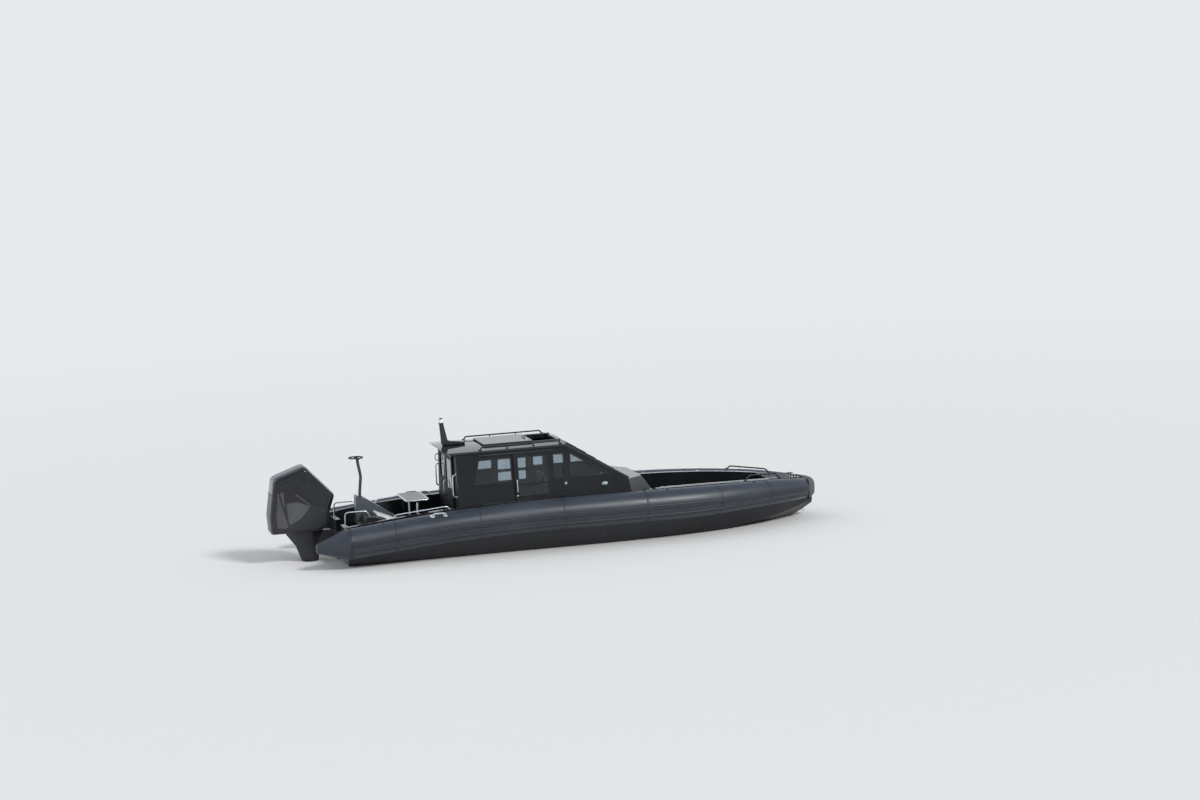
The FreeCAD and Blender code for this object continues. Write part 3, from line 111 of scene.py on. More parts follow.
def fair(rows: Array, x: Array) -> Array:
    """Reads a section table on a cubic curve through its rows.

    Each column is a cubic between rows, with the slope at a row weighted between the
    straight slopes on both sides of it.

    Args:
        rows: The table, its first column the place along the boat.
        x: The places to read.

    Returns:
        One row of columns for each place.
    """
    places, values = rows[:, 0], rows[:, 1:]
    run = np.diff(places)[:, None]
    chord = np.diff(values, axis=0) / run
    slope = np.empty_like(values)
    slope[0], slope[-1] = chord[0], chord[-1]
    slope[1:-1] = (chord[:-1] * run[1:] + chord[1:] * run[:-1]) / (run[:-1] + run[1:])
    span = np.clip(np.searchsorted(places, x, side="right") - 1, 0, len(places) - 2)
    t = ((x - places[span]) / run[span, 0])[:, None]
    low, high, h = values[span], values[span + 1], run[span]
    cubic = low * (1 + 2 * t) * (1 - t) ** 2 + high * t ** 2 * (3 - 2 * t)
    cubic += h * slope[span] * t * (1 - t) ** 2 - h * slope[span + 1] * t ** 2 * (1 - t)
    return cubic


@dataclass
class Surface:
    """Corners, four-sided faces, triangles and flat map places of a piece."""

    verts: Array
    quads: Array
    tris: Array = field(default_factory=lambda: np.zeros((0, 3), int))
    uv: Array | None = None

    @staticmethod
    def grid(points: Array, around: bool = False, along: bool = False, uv: Array | None = None) -> "Surface":
        """A skin over rows and columns of points.

        Args:
            points: Places, as rows by columns by three.
            around: Whether the last column joins the first.
            along: Whether the last row joins the first.
            uv: Flat map places, as rows by columns by two.

        Returns:
            The skin.
        """
        rows, columns = points.shape[:2]
        index = np.arange(rows * columns).reshape(rows, columns)
        if around:
            index = np.concatenate([index, index[:, :1]], axis=1)
        if along:
            index = np.concatenate([index, index[:1]], axis=0)
        quads = np.stack([index[:-1, :-1], index[:-1, 1:], index[1:, 1:], index[1:, :-1]], axis=-1)
        flat = None if uv is None else uv.reshape(-1, 2)
        return Surface(points.reshape(-1, 3), quads.reshape(-1, 4), uv=flat)

    @staticmethod
    def tube(points: Array, uv: Array | None = None) -> "Surface":
        """A closed skin whose columns run round it, each end filled by a fan from its middle.

        Args:
            points: Places, as rows by columns by three.
            uv: Flat map places, as rows by columns by two.

        Returns:
            The skin.
        """
        skin = Surface.grid(points, around=True, uv=uv)
        rows, columns = points.shape[:2]
        ends = points[[0, -1]].mean(axis=1)
        count = rows * columns
        ring = np.arange(columns)
        after = np.roll(ring, -1)
        first = np.stack([np.full(columns, count), after, ring], axis=1)
        start = count - columns
        last = np.stack([np.full(columns, count + 1), start + ring, start + after], axis=1)
        skin.verts = np.concatenate([skin.verts, ends])
        skin.tris = np.concatenate([first, last])
        if skin.uv is not None:
            skin.uv = np.concatenate([skin.uv, skin.uv[[0, -1]]])
        return skin

    def moved(self, shift: Sequence[float]) -> "Surface":
        """The same surface at another place."""
        return Surface(self.verts + np.array(shift, float), self.quads, self.tris, self.uv)

    def turned(self, matrix: Matrix) -> "Surface":
        """The same surface turned and moved by a matrix."""
        whole = np.array(matrix, float)
        return Surface(self.verts @ whole[:3, :3].T + whole[:3, 3], self.quads, self.tris, self.uv)

    def mirrored(self) -> "Surface":
        """The surface on the other side of the boat, its faces turned to stay outward."""
        flip = self.verts * np.array([1.0, -1.0, 1.0])
        return Surface(flip, self.quads[:, ::-1], self.tris[:, ::-1], self.uv)

    def both(self) -> "Surface":
        """The surface on both sides of the boat."""
        return Surface.joined([self, self.mirrored()])

    @staticmethod
    def joined(parts: Sequence["Surface"]) -> "Surface":
        """Several surfaces as one."""
        starts = np.cumsum([0] + [len(part.verts) for part in parts[:-1]])
        flat = None
        if all(part.uv is not None for part in parts):
            flat = np.concatenate([part.uv for part in parts])
        return Surface(
            np.concatenate([part.verts for part in parts]),
            np.concatenate([part.quads + start for part, start in zip(parts, starts)]),
            np.concatenate([part.tris + start for part, start in zip(parts, starts)]),
            flat,
        )


def unit(vectors: Array) -> Array:
    """Vectors made one long."""
    return vectors / np.maximum(np.linalg.norm(vectors, axis=-1, keepdims=True), 1e-12)


def rounded(points: Sequence[Point] | Array, bend: float, steps: int = 8) -> Array:
    """A line whose corners are rounded.

    Each corner becomes a quadratic curve from bend before it to bend after it, with the
    corner itself as the middle control point.

    Args:
        points: The corners.
        bend: How far from a corner its curve starts.
        steps: Points on each curve.

    Returns:
        The points along the line.
    """
    path = np.array(points, float)
    corner = path[1:-1, None]
    before = corner + unit(path[:-2, None] - corner) * bend
    after = corner + unit(path[2:, None] - corner) * bend
    t = np.linspace(0, 1, steps)[None, :, None]
    curve = (1 - t) ** 2 * before + 2 * t * (1 - t) * corner + t ** 2 * after
    return np.concatenate([path[:1], curve.reshape(-1, 3), path[-1:]])


def circle(radius: float, sides: int = 20) -> Array:
    """Places round a circle, as pairs."""
    turn = np.linspace(0, 2 * np.pi, sides, endpoint=False)
    return np.stack([np.cos(turn), np.sin(turn)], axis=1) * radius


def carried(path: Array, profile: Array, upright: Point | Array = UP, closed: bool = False) -> Surface:
    """A profile carried along a path.

    At each point the profile lies in the plane square to the path, its first number
    along the level direction and its second along the direction nearest upright.

    Args:
        path: Points of the path.
        profile: Pairs, or rows of pairs for each path point.
        upright: The direction that the profile's second number keeps to.
        closed: Whether the path joins up.

    Returns:
        The closed skin.
    """
    if closed:
        run = unit(np.roll(path, -1, axis=0) - np.roll(path, 1, axis=0))
    else:
        run = unit(np.gradient(path, axis=0))
    level = unit(np.cross(run, np.array(upright, float)))
    up = np.cross(level, run)
    pairs = profile if profile.ndim == 3 else np.broadcast_to(profile, (len(path), *profile.shape))
    points = path[:, None] + level[:, None] * pairs[..., :1] + up[:, None] * pairs[..., 1:]
    if closed:
        return Surface.grid(points, around=True, along=True)
    return Surface.tube(points)


def bar(
    corners: Sequence[Point | Array],
    bend: float,
    radius: float,
    upright: Point | Array = PORT,
    sides: int = 18,
    steps: int = 8,
) -> Surface:
    """A round bar along a line whose corners are rounded.

    Args:
        corners: The line's corners.
        bend: How far from a corner its curve starts.
        radius: The bar's radius.
        upright: A direction that the line doesn't follow.
        sides: Points round the bar.
        steps: Points on each curve.

    Returns:
        The closed skin.
    """
    return carried(rounded(corners, bend, steps), circle(radius, sides), upright)


def loop_line(corners: Sequence[Point] | Array, bend: float, steps: int) -> Array:
    """A line that joins up, each of its corners rounded."""
    return rounded([corners[-1], *corners, corners[0]], bend, steps)[1:-1]


def spun(profile: Profile, centre: Point, axis: Point | Array, sides: int = 40) -> Surface:
    """A profile turned about an axis.

    A point at distance a along the axis and radius r goes to the centre plus a times the
    axis plus r round it.

    Args:
        profile: Pairs of distance along the axis and radius.
        centre: A point on the axis.
        axis: The axis direction.
        sides: Steps round the axis.

    Returns:
        The closed skin.
    """
    pairs = np.array(profile, float)
    along = unit(np.array(axis, float))
    side = unit(np.cross(along, np.array((0.31, 0.52, 0.79))))
    other = np.cross(along, side)
    ring = circle(1.0, sides)
    out = ring[:, :1] * side + ring[:, 1:] * other
    points = np.array(centre, float) + pairs[:, None, :1] * along + pairs[:, None, 1:] * out[None]
    return Surface.tube(points)


def soft_box(low: Point, high: Point, edge: float, steps: int = 4) -> Surface:
    """A block with rounded edges.

    A cube's grid is pushed to the block shrunk by the edge radius, plus the radius along
    the direction from that inner block to the corner region.

    Args:
        low: Lowest corner.
        high: Highest corner.
        edge: Radius of the edges.
        steps: Grid steps within each rounded edge.

    Returns:
        The closed skin, its seams merged when it is made.
    """
    lo, hi = np.array(low, float), np.array(high, float)
    ramp = np.tan(np.linspace(0, np.pi / 4, steps + 1))
    line = np.concatenate([-1 - ramp[::-1], 1 + ramp])
    u, v = np.meshgrid(line, line, indexing="ij")
    skins = []
    half, middle = (hi - lo) / 2, (hi + lo) / 2
    for axis in range(3):
        for sign in (-1.0, 1.0):
            cube = np.empty(u.shape + (3,))
            cube[..., axis] = 2 * sign
            cube[..., (axis + 1) % 3] = u
            cube[..., (axis + 2) % 3] = v
            inner = np.clip(cube, -1, 1)
            points = middle + inner * (half - edge) + unit(cube - inner) * edge
            skins.append(Surface.grid(points if sign > 0 else points[::-1]))
    return Surface.joined(skins)


def walled(outer: Array, inner: Array) -> Surface:
    """A closed wall between an outer and an inner grid of points, its rims and ends joined by strips."""
    skin = Surface.grid(np.concatenate([outer, inner[:, ::-1]], axis=1), around=True)
    columns = outer.shape[1]
    near = np.arange(columns - 1)
    far = 2 * columns - 1 - near
    first = np.stack([near, far, far - 1, near + 1], axis=1)
    last = first[:, ::-1] + (len(outer) - 1) * 2 * columns
    skin.quads = np.concatenate([skin.quads, first, last])
    return skin


# Meshes, objects and CAD copies


def shaded(mesh: bpy.types.Mesh, angle: float) -> None:
    """Smooth shading with edges sharper than an angle in degrees kept crisp."""
    mesh.shade_smooth()
    mesh.set_sharp_from_angle(angle=math.radians(angle))


def piece(
    name: str,
    surface: Surface,
    finish: Material,
    body: Body = Body.ROOT,
    replaces: Sequence[str] = (),
    angle: float = 35.0,
) -> Object:
    """Makes a piece of the boat from a surface.

    Args:
        name: The piece's name.
        surface: Its closed skin.
        finish: Its material.
        body: The body it rides on.
        replaces: CAD nodes it stands for.
        angle: Edges sharper than this stay crisp.

    Returns:
        The new object.
    """
    mesh = bpy.data.meshes.new(name)
    mesh.from_pydata(surface.verts.tolist(), [], surface.quads.tolist() + surface.tris.tolist())
    if surface.uv is not None:
        layer = mesh.uv_layers.new(name="map")
        corner = np.empty(len(mesh.loops), np.int32)
        mesh.loops.foreach_get("vertex_index", corner)
        layer.data.foreach_set("uv", surface.uv[corner].ravel().astype(np.float32))
    work = bmesh.new()
    work.from_mesh(mesh)
    bmesh.ops.remove_doubles(work, verts=work.verts, dist=2e-5)
    bmesh.ops.dissolve_degenerate(work, edges=work.edges, dist=1e-5)
    bmesh.ops.recalc_face_normals(work, faces=work.faces)
    work.to_mesh(mesh)
    work.free()
    shaded(mesh, angle)
    obj = bpy.data.objects.new(name, mesh)
    bpy.context.scene.collection.objects.link(obj)
    return fitted(obj, finish, body, replaces)


def fitted(
    obj: Object,
    finish: Material,
    body: Body,
    replaces: Sequence[str] = (),
) -> Object:
    """Gives a finished mesh object its material, its body and the nodes it stands for."""
    obj.data.materials.clear()
    obj.data.materials.append(finish)
    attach(obj, body.value)
    if replaces:
        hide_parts(*replaces)
    log.info("%s: %d corners", obj.name, len(obj.data.vertices))
    return obj


def softened(
    node: str,
    finish: Material,
    edge: float,
    body: Body = Body.ROOT,
    segments: int = 3,
) -> Object:
    """A copy of a boxy CAD node with its flat facets merged and its edges rounded.

    Args:
        node: The CAD node.
        finish: Its material.
        edge: Width of the rounding.
        body: The body it rides on.
        segments: Facets across the rounding.

    Returns:
        The new object, which stands for the node.
    """
    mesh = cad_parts[node].data.copy()
    mesh.name = node + "_shell"
    work = bmesh.new()
    work.from_mesh(mesh)
    bmesh.ops.remove_doubles(work, verts=work.verts, dist=1e-5)
    bmesh.ops.dissolve_limit(work, angle_limit=math.radians(0.6), verts=work.verts, edges=work.edges)
    work.to_mesh(mesh)
    work.free()
    shaded(mesh, 30.0)
    obj = bpy.data.objects.new(node + "_shell", mesh)
    bpy.context.scene.collection.objects.link(obj)
    bevel = obj.modifiers.new("rounding", "BEVEL")
    bevel.width = edge
    bevel.segments = segments
    bevel.limit_method = "ANGLE"
    bevel.angle_limit = math.radians(28)
    bevel.harden_normals = True
    bevel.use_clamp_overlap = True
    return fitted(obj, finish, body, (node,))


def dressed(node: str, finish: Material) -> Object:
    """Gives a CAD node that stays its material."""
    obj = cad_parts[node]
    obj.data.materials.clear()
    obj.data.materials.append(finish)
    return obj


# Materials


class Graph:
    """A node tree with one call to add a node, set it and join it."""

    def __init__(self, tree: bpy.types.NodeTree) -> None:
        """Keeps the tree."""
        self.tree = tree

    def feed(self, node: Node, joins: dict[Any, Any]) -> None:
        """Gives a node's inputs their values, or joins them to other nodes' outputs."""
        for key, value in joins.items():
            if isinstance(value, Socket):
                self.tree.links.new(value, node.inputs[key])
            else:
                node.inputs[key].default_value = value

    def add(self, kind: str, joins: dict[Any, Any] | None = None, **settings: Any) -> Node:
        """Adds a node.

        Args:
            kind: The node's type.
            joins: For each input, a value or another node's output.
            settings: The node's own properties.

        Returns:
            The node.
        """
        node = self.tree.nodes.new(kind)
        for key, value in settings.items():
            setattr(node, key, value)
        self.feed(node, joins or {})
        return node

    def math(self, operation: str, *values: Any, clamp: bool = False) -> Socket:
        """The result of a number operation."""
        joins = dict(enumerate(values))
        return self.add("ShaderNodeMath", joins, operation=operation, use_clamp=clamp).outputs[0]

    def mix(self, mask: Any, first: Any, second: Any) -> Socket:
        """A colour between two colours."""
        joins = {0: mask, 6: wide(first), 7: wide(second)}
        return self.add("ShaderNodeMix", joins, data_type="RGBA").outputs[2]

    def between(
        self, value: Any, low: float, high: float, to_low: float = 0.0, to_high: float = 1.0
    ) -> Socket:
        """A number carried from one range to another."""
        joins = {0: value, 1: low, 2: high, 3: to_low, 4: to_high}
        return self.add("ShaderNodeMapRange", joins).outputs[0]

    def noise(self, place: Socket, scale: Any, detail: float, **more: float) -> Socket:
        """Cloudy noise at a place."""
        joins = {"Vector": place, "Scale": scale, "Detail": detail}
        joins.update({key.capitalize(): value for key, value in more.items()})
        return self.add("ShaderNodeTexNoise", joins).outputs[0]

    def bump(self, height: Socket, strength: float, distance: float) -> Socket:
        """The normal that a height gives."""
        joins = {"Height": height, "Strength": strength, "Distance": distance}
        return self.add("ShaderNodeBump", joins).outputs[0]


def wide(colour: Any) -> Any:
    """A colour with its opacity, or the socket as it is."""
    return (*colour, 1.0) if isinstance(colour, tuple) and len(colour) == 3 else colour


class EffectKind(Enum):
    """The effects that materials share."""

    TONE = "slow_tone"
    GRAIN = "fine_grain"
    SALT = "dried_salt"
    WEAVE = "coated_weave"
    BRUSH = "brushed_lines"
    TREAD = "deck_tread"


class Effects:
    """The shared node groups, each built once when it is first asked for."""

    def __init__(self) -> None:
        """Starts with none built."""
        self.made: dict[EffectKind, bpy.types.NodeTree] = {}

    def mask(
        self, graph: Graph, kind: EffectKind, place: Socket, scale: float, amount: float = 1.0
    ) -> Socket:
        """Puts an effect in a material and gives its mask."""
        if kind not in self.made:
            self.made[kind] = self.build(kind)
        joins = {"Place": place, "Scale": scale, "Amount": amount}
        return graph.add("ShaderNodeGroup", joins, node_tree=self.made[kind]).outputs[0]

    def build(self, kind: EffectKind) -> bpy.types.NodeTree:
        """Builds an effect's group with a place, a scale and an amount in, and a mask out.

        Args:
            kind: Which effect to build.

        Returns:
            The group.
        """
        tree = bpy.data.node_groups.new(kind.value, "ShaderNodeTree")
        for name, way, form in (
            ("Place", "INPUT", "Vector"), ("Scale", "INPUT", "Float"),
            ("Amount", "INPUT", "Float"), ("Mask", "OUTPUT", "Float"),
        ):
            tree.interface.new_socket(name=name, in_out=way, socket_type="NodeSocket" + form)
        graph = Graph(tree)
        place, scale, amount = graph.add("NodeGroupInput").outputs[:3]
        maker = {
            EffectKind.TONE: self.tone,
            EffectKind.GRAIN: self.grain,
            EffectKind.SALT: self.salt,
            EffectKind.WEAVE: self.weave,
            EffectKind.BRUSH: self.brush,
            EffectKind.TREAD: self.tread,
        }[kind]
        graph.add("NodeGroupOutput", {0: graph.math("MULTIPLY", maker(graph, place, scale), amount)})
        return tree

    def tone(self, graph: Graph, place: Socket, scale: Socket) -> Socket:
        """Slow cloudy change, from nought to one."""
        return graph.between(graph.noise(place, scale, 4.0, roughness=0.55), 0.34, 0.68)

    def grain(self, graph: Graph, place: Socket, scale: Socket) -> Socket:
        """Fine pebbled height from cells and noise."""
        cells = graph.add("ShaderNodeTexVoronoi", {"Vector": place, "Scale": scale}).outputs[0]
        noise = graph.noise(place, scale, 2.0)
        return graph.math("ADD", graph.math("MULTIPLY", cells, 0.6), graph.math("MULTIPLY", noise, 0.4))

    def salt(self, graph: Graph, place: Socket, scale: Socket) -> Socket:
        """Dried spray: small pale spots gathered in clouds, with runs drawn down the surface."""
        spots = graph.add("ShaderNodeTexVoronoi", {"Vector": place, "Scale": scale, "Randomness": 1.0})
        ring = graph.between(spots.outputs[0], 0.12, 0.3, 1.0, 0.0)
        gather = graph.between(graph.noise(place, 2.3, 5.0), 0.5, 0.72)
        stretch = graph.add("ShaderNodeMapping", {"Vector": place, "Scale": (26.0, 26.0, 1.6)})
        streak = graph.between(graph.noise(stretch.outputs[0], 1.0, 3.0), 0.58, 0.74, 0.0, 0.7)
        return graph.math("MAXIMUM", *(graph.math("MULTIPLY", part, gather) for part in (ring, streak)))

    def weave(self, graph: Graph, place: Socket, scale: Socket) -> Socket:
        """Over-and-under threads under a coating, from two crossed waves on the flat map."""
        parts = graph.add("ShaderNodeSeparateXYZ", {0: place})
        across, along = (self.wave(graph, parts.outputs[k], scale) for k in (0, 1))
        return graph.between(graph.math("MULTIPLY", across, along), -1.0, 1.0)

    def brush(self, graph: Graph, place: Socket, scale: Socket) -> Socket:
        """Long fine polishing lines."""
        stretch = graph.add("ShaderNodeMapping", {"Vector": place, "Scale": (0.06, 1.0, 1.0)})
        return graph.between(graph.noise(stretch.outputs[0], scale, 3.0), 0.3, 0.7)

    def tread(self, graph: Graph, place: Socket, scale: Socket) -> Socket:
        """Raised lozenges from two slanting waves."""
        parts = graph.add("ShaderNodeSeparateXYZ", {0: place}).outputs
        slants = (graph.math(way, parts[0], parts[1]) for way in ("ADD", "SUBTRACT"))
        waves = (graph.math("ABSOLUTE", self.wave(graph, slant, scale)) for slant in slants)
        return graph.between(graph.math("MINIMUM", *waves), 0.15, 0.4)

    def wave(self, graph: Graph, value: Socket, scale: Any) -> Socket:
        """The sine of a number times a scale."""
        return graph.math("SINE", graph.math("MULTIPLY", value, scale))


EFFECTS = Effects()


@dataclass(frozen=True)
class Finish:
    """What the finishes share: a name and the start of a material."""

    name: str

    def start(self) -> tuple[Material, Graph, Node, Socket]:
        """A new material, its graph, its shader and the place on the piece."""
        material = bpy.data.materials.new(self.name)
        material.use_nodes = True
        graph = Graph(material.node_tree)
        place = graph.add("ShaderNodeTexCoord").outputs["Object"]
        return material, graph, material.node_tree.nodes["Principled BSDF"], place

    def salted(self, graph: Graph, tone: Socket, salt: Socket, rough: tuple[float, float]) -> Socket:
        """Roughness that follows the tone, and rises where salt has dried."""
        follows = graph.between(tone, 0.0, 1.0, *rough)
        return graph.math("ADD", follows, graph.math("MULTIPLY", salt, 0.5), clamp=True)


@dataclass(frozen=True)
class Coating(Finish):
    """Paint, gel coat, rubber or moulded plastic, with a slow tone, grain and dried salt."""

    dark: Colour
    light: Colour
    rough: tuple[float, float]
    tone_scale: float = 1.4
    grain_scale: float = 420.0
    grain_depth: float = 0.0003
    grain_strength: float = 0.15
    salt: float = 0.12
    salt_scale: float = 46.0
    salt_colour: Colour = (0.42, 0.44, 0.46)
    metallic: float = 0.0
    coat: float = 0.0
    tread: float = 0.0
    tread_scale: float = 165.0
    specular: float = 0.4

    def make(self) -> Material:
        """Builds the material, its colour, roughness and height from the shared effects."""
        material, graph, shader, place = self.start()
        tone = EFFECTS.mask(graph, EffectKind.TONE, place, self.tone_scale)
        salt = EFFECTS.mask(graph, EffectKind.SALT, place, self.salt_scale, self.salt)
        height = EFFECTS.mask(graph, EffectKind.GRAIN, place, self.grain_scale)
        if self.tread:
            raised = EFFECTS.mask(graph, EffectKind.TREAD, place, self.tread_scale, self.tread)
            height = graph.math("ADD", height, raised)
        graph.feed(shader, {
            "Base Color": graph.mix(salt, graph.mix(tone, self.dark, self.light), self.salt_colour),
            "Roughness": self.salted(graph, tone, salt, self.rough),
            "Normal": graph.bump(height, self.grain_strength, self.grain_depth),
            "Metallic": self.metallic,
            "Coat Weight": self.coat,
            "Coat Roughness": 0.04,
            "Specular IOR Level": self.specular,
        })
        return material


@dataclass(frozen=True)
class TubeFabric(Finish):
    """Coated fabric whose weave follows the tube's own flat map."""

    dark: Colour
    light: Colour
    rough: tuple[float, float] = (0.33, 0.45)
    threads: float = 900.0
    salt_colour: Colour = (0.36, 0.38, 0.41)

    def make(self) -> Material:
        """Builds the material, its weave and ripple on the flat map and its tone and salt in space."""
        material, graph, shader, place = self.start()
        flat = place.node.outputs["UV"]
        tone = EFFECTS.mask(graph, EffectKind.TONE, place, 1.1)
        salt = EFFECTS.mask(graph, EffectKind.SALT, place, 38.0, 0.16)
        weave = EFFECTS.mask(graph, EffectKind.WEAVE, flat, self.threads)
        height = graph.math("ADD", graph.math("MULTIPLY", weave, 0.06), graph.noise(flat, 5.0, 2.0))
        graph.feed(shader, {
            "Base Color": graph.mix(salt, graph.mix(tone, self.dark, self.light), self.salt_colour),
            "Roughness": self.salted(graph, tone, salt, self.rough),
            "Normal": graph.bump(height, 0.22, 0.006),
            "Sheen Weight": 0.12,
            "Sheen Roughness": 0.4,
            "Sheen Tint": (0.62, 0.72, 0.9, 1.0),
        })
        return material


@dataclass(frozen=True)
class SewnVinyl(Finish):
    """Cushion vinyl with a leather-like grain and faint creases."""

    dark: Colour
    light: Colour

    def make(self) -> Material:
        """Builds the material."""
        material, graph, shader, place = self.start()
        tone = EFFECTS.mask(graph, EffectKind.TONE, place, 5.0)
        grain = EFFECTS.mask(graph, EffectKind.GRAIN, place, 320.0)
        crease = graph.math("MULTIPLY", graph.noise(place, 16.0, 3.0, distortion=0.6), 4.0)
        graph.feed(shader, {
            "Base Color": graph.mix(tone, self.dark, self.light),
            "Roughness": graph.between(tone, 0.0, 1.0, 0.42, 0.56),
            "Normal": graph.bump(graph.math("ADD", grain, crease), 0.35, 0.0008),
            "Sheen Weight": 0.08,
        })
        return material


@dataclass(frozen=True)
class BrightMetal(Finish):
    """Polished or brushed metal with fine lines and a slow change of gloss."""

    dark: Colour
    light: Colour
    rough: tuple[float, float]

    def make(self) -> Material:
        """Builds the material."""
        material, graph, shader, place = self.start()
        tone = EFFECTS.mask(graph, EffectKind.TONE, place, 6.0)
        lines = EFFECTS.mask(graph, EffectKind.BRUSH, place, 700.0)
        graph.feed(shader, {
            "Base Color": graph.mix(tone, self.dark, self.light),
            "Roughness": graph.between(lines, 0.0, 1.0, *self.rough),
            "Normal": graph.bump(lines, 0.12, 0.0002),
            "Metallic": 1.0,
        })
        return material


@dataclass(frozen=True)
class TintedGlass(Finish):
    """Dark safety glass with faint wiping marks in its gloss."""

    tint: Colour

    def make(self) -> Material:
        """Builds the material."""
        material, graph, shader, place = self.start()
        tone = EFFECTS.mask(graph, EffectKind.TONE, place, 2.0)
        graph.feed(shader, {
            "Base Color": graph.mix(tone, tuple(0.82 * part for part in self.tint), self.tint),
            "Roughness": graph.between(tone, 0.0, 1.0, 0.008, 0.03),
            "Transmission Weight": 1.0,
            "IOR": 1.45,
        })
        return material


@dataclass(frozen=True)
class LampLens(Finish):
    """A lamp's clear or coloured moulding, with ribs and a faint glow."""

    colour: Colour
    glow: float = 0.0

    def make(self) -> Material:
        """Builds the material."""
        material, graph, shader, place = self.start()
        height = graph.add("ShaderNodeSeparateXYZ", {0: place}).outputs[2]
        tone = EFFECTS.mask(graph, EffectKind.TONE, place, 30.0)
        graph.feed(shader, {
            "Base Color": graph.mix(tone, tuple(0.8 * part for part in self.colour), self.colour),
            "Normal": graph.bump(EFFECTS.wave(graph, height, 1400.0), 0.3, 0.0006),
            "Roughness": graph.between(tone, 0.0, 1.0, 0.12, 0.22),
            "Emission Color": (*self.colour, 1.0),
            "Emission Strength": self.glow,
        })
        return material


@dataclass(frozen=True)
class ScreenGlass(Finish):
    """A dark instrument screen, blank, with a faint change of tone."""

    def make(self) -> Material:
        """Builds the material."""
        material, graph, shader, place = self.start()
        tone = EFFECTS.mask(graph, EffectKind.TONE, place, 9.0)
        graph.feed(shader, {
            "Base Color": graph.mix(tone, (0.006, 0.012, 0.02), (0.02, 0.04, 0.06)),
            "Roughness": graph.between(tone, 0.0, 1.0, 0.04, 0.1),
        })
        return material


def made(finish: Any) -> Any:
    """A field that holds a finish's material, made when the palette is."""
    return field(default_factory=finish.make)


